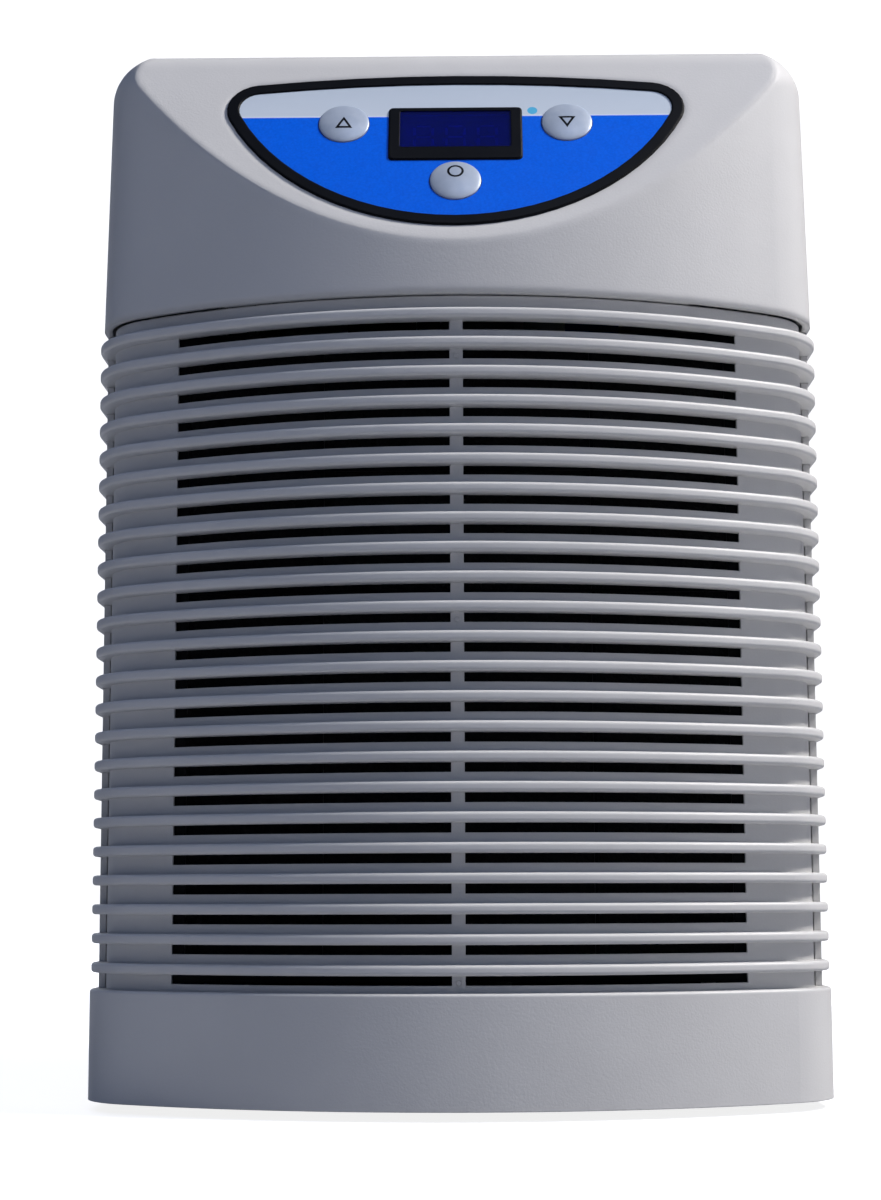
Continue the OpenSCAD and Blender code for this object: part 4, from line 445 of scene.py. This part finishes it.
nitrile = rubber("nitrile rubber, black", "#151515", "#2c2b29", 0.72)
dress(nitrile, "rubber_feet", "compressor_grommets", "cap_seal", "port_seals")
cable_sheath = rubber("PVC sheath, black", "#141518", "#22242a", 0.5)
dress(cable_sheath, "wiring_loom")
jacket_foam = rubber("nitrile foam jacket, charcoal", "#26282a", "#35383a", 0.9)
dress(jacket_foam, "evaporator_insulation")


# Sheet metal and fasteners: zinc-plated deck and brackets, screws, studs, nuts and the shaft.
# Rolled or turned steel, with the rolling lines or turning marks still in it.
def rolled_metal(name, tone, dull, rough, grain_mm, stretch, depth_mm):
    """Worked metal: fine lines stretched along one axis and clouds of dull plating."""
    made, tree, shader, place = new_finish(name)
    drawn = add(tree, "ShaderNodeMapping", {"Vector": place, "Scale": stretch}).outputs["Vector"]
    lines = cloud(tree, drawn, grain_mm, 3.0)
    clouds = spread(tree, cloud(tree, place, 18.0, 4.0), 0.0, 1.0)
    tree.links.new(two_tone(tree, clouds, light_of(tone), light_of(dull)), shader.inputs["Base Color"])
    tree.links.new(spread(tree, lines, rough - 0.08, rough + 0.08), shader.inputs["Roughness"])
    tree.links.new(grained(tree, lines, depth_mm), shader.inputs["Normal"])
    shader.inputs["Metallic"].default_value = 1.0
    return made


zinc = rolled_metal("steel, zinc plated", "#c2c6ca", "#a4a9ad", 0.34, 0.9, (1, 1, 1), 0.006)
dress(zinc, "compressor_nuts", "cap_bolts", "case_screws", "board_screws")
deck_sheet = rolled_metal("steel sheet, galvanised", "#b4b8ba", "#969b9f", 0.42, 0.8, (0.05, 1, 1), 0.008)
dress(deck_sheet, "equipment_deck", "fan_bracket")
ground_steel = rolled_metal("steel, ground", "#b9bcbf", "#9fa3a6", 0.25, 0.6, (1, 0.05, 1), 0.004)
dress(ground_steel, "fan_shaft", "compressor_studs", "temperature_probe")
fin_aluminium = rolled_metal("aluminium fin stock, rolled", "#c9cccf", "#b2b6ba", 0.3, 0.7, (0.1, 1, 0.1), 0.006)
dress(fin_aluminium, "condenser_fins", "condenser_end_plates", "run_capacitor")
copper = rolled_metal("copper tube, drawn", "#c47a50", "#8a5238", 0.28, 0.8, (1, 1, 0.1), 0.006)
dress(copper, "condenser_tubes", "discharge_line", "liquid_line", "filter_drier", "capillary_tube",
      "suction_line")
titanium = rolled_metal("titanium tube", "#9c9a96", "#83817e", 0.32, 0.8, (1, 1, 0.1), 0.006)
dress(titanium, "refrigerant_coil")
brass = rolled_metal("brass pins, nickel plated", "#cfc6a8", "#b9ae8c", 0.24, 0.6, (1, 0.1, 1), 0.003)
dress(brass, "inlet_pins")
core_steel = rolled_metal("transformer core, varnished laminations", "#5a4a3c", "#43382f", 0.4, 0.7,
                          (0.05, 1, 0.05), 0.03)
dress(core_steel, "power_transformer")


# Painted and enamelled parts: the black compressor, the grey motor can and the blue relay.
# Stove enamel over steel has a slight orange-peel surface and a soft gloss.
def enamel(name, tone, second, rough, peel_mm, depth_mm):
    """Stove enamel: an even colour with faint clouds and an orange-peel bump under a gloss coat."""
    made, tree, shader, place = new_finish(name)
    tree.links.new(two_tone(tree, spread(tree, cloud(tree, place, 40.0), 0.0, 1.0), light_of(tone),
                            light_of(second)), shader.inputs["Base Color"])
    tree.links.new(spread(tree, cloud(tree, place, 8.0), rough - 0.04, rough + 0.05),
                   shader.inputs["Roughness"])
    tree.links.new(grained(tree, cloud(tree, place, peel_mm), depth_mm), shader.inputs["Normal"])
    shader.inputs["Coat Weight"].default_value = 0.25
    return made


black_enamel = enamel("stove enamel, black", "#101113", "#191a1d", 0.3, 3.0, 0.05)
dress(black_enamel, "compressor_shell", "compressor_feet")
motor_enamel = enamel("stove enamel, grey", "#6b7075", "#787d82", 0.38, 2.5, 0.03)
dress(motor_enamel, "fan_motor")
relay_blue = enamel("polycarbonate, blue", "#1c4c9c", "#2457a8", 0.35, 1.5, 0.01)
dress(relay_blue, "compressor_relay")

# Circuit boards: glass-epoxy sheet under green solder resist.
# The weave of the glass lifts the resist in a grid, drawn in rows of 2.8 mm, far coarser than the
# real one, and tracks show as paler clouds.
board, tree, shader, place = new_finish("glass epoxy board, green resist")
weave = add(tree, "ShaderNodeTexBrick", {"Vector": place, "Scale": 90.0}).outputs["Fac"]
tree.links.new(two_tone(tree, spread(tree, cloud(tree, place, 4.0), 0.0, 1.0, 0.45, 0.5),
                        light_of("#145232"), light_of("#1e6a43")), shader.inputs["Base Color"])
tree.links.new(spread(tree, cloud(tree, place, 3.0), 0.28, 0.4), shader.inputs["Roughness"])
tree.links.new(grained(tree, weave, 0.02), shader.inputs["Normal"])
dress(board, "display_board", "main_board")
ribbon = moulded("PVC ribbon cable, grey", "#9a9da0", "#a9acaf", 1.2, 0.03, 0.5, 0.3)
dress(ribbon, "display_ribbon")

# Water vessel, cap, hose tails and nuts: dark glass-filled polypropylene, moulded.
# The water parts are thick and dull, with flow marks near their edges.
vessel_plastic = moulded("polypropylene, vessel grey", "#54585c", "#62666a", 1.0, 0.02, 0.5, 0.6)
dress(vessel_plastic, "evaporator_vessel", "evaporator_cap")
port_plastic = moulded("polypropylene, glass filled, black", "#1b1c1f", "#2b2d31", 0.8, 0.02, 0.48, 0.6)
dress(port_plastic, "hose_tails", "inlet_nut", "outlet_nut")
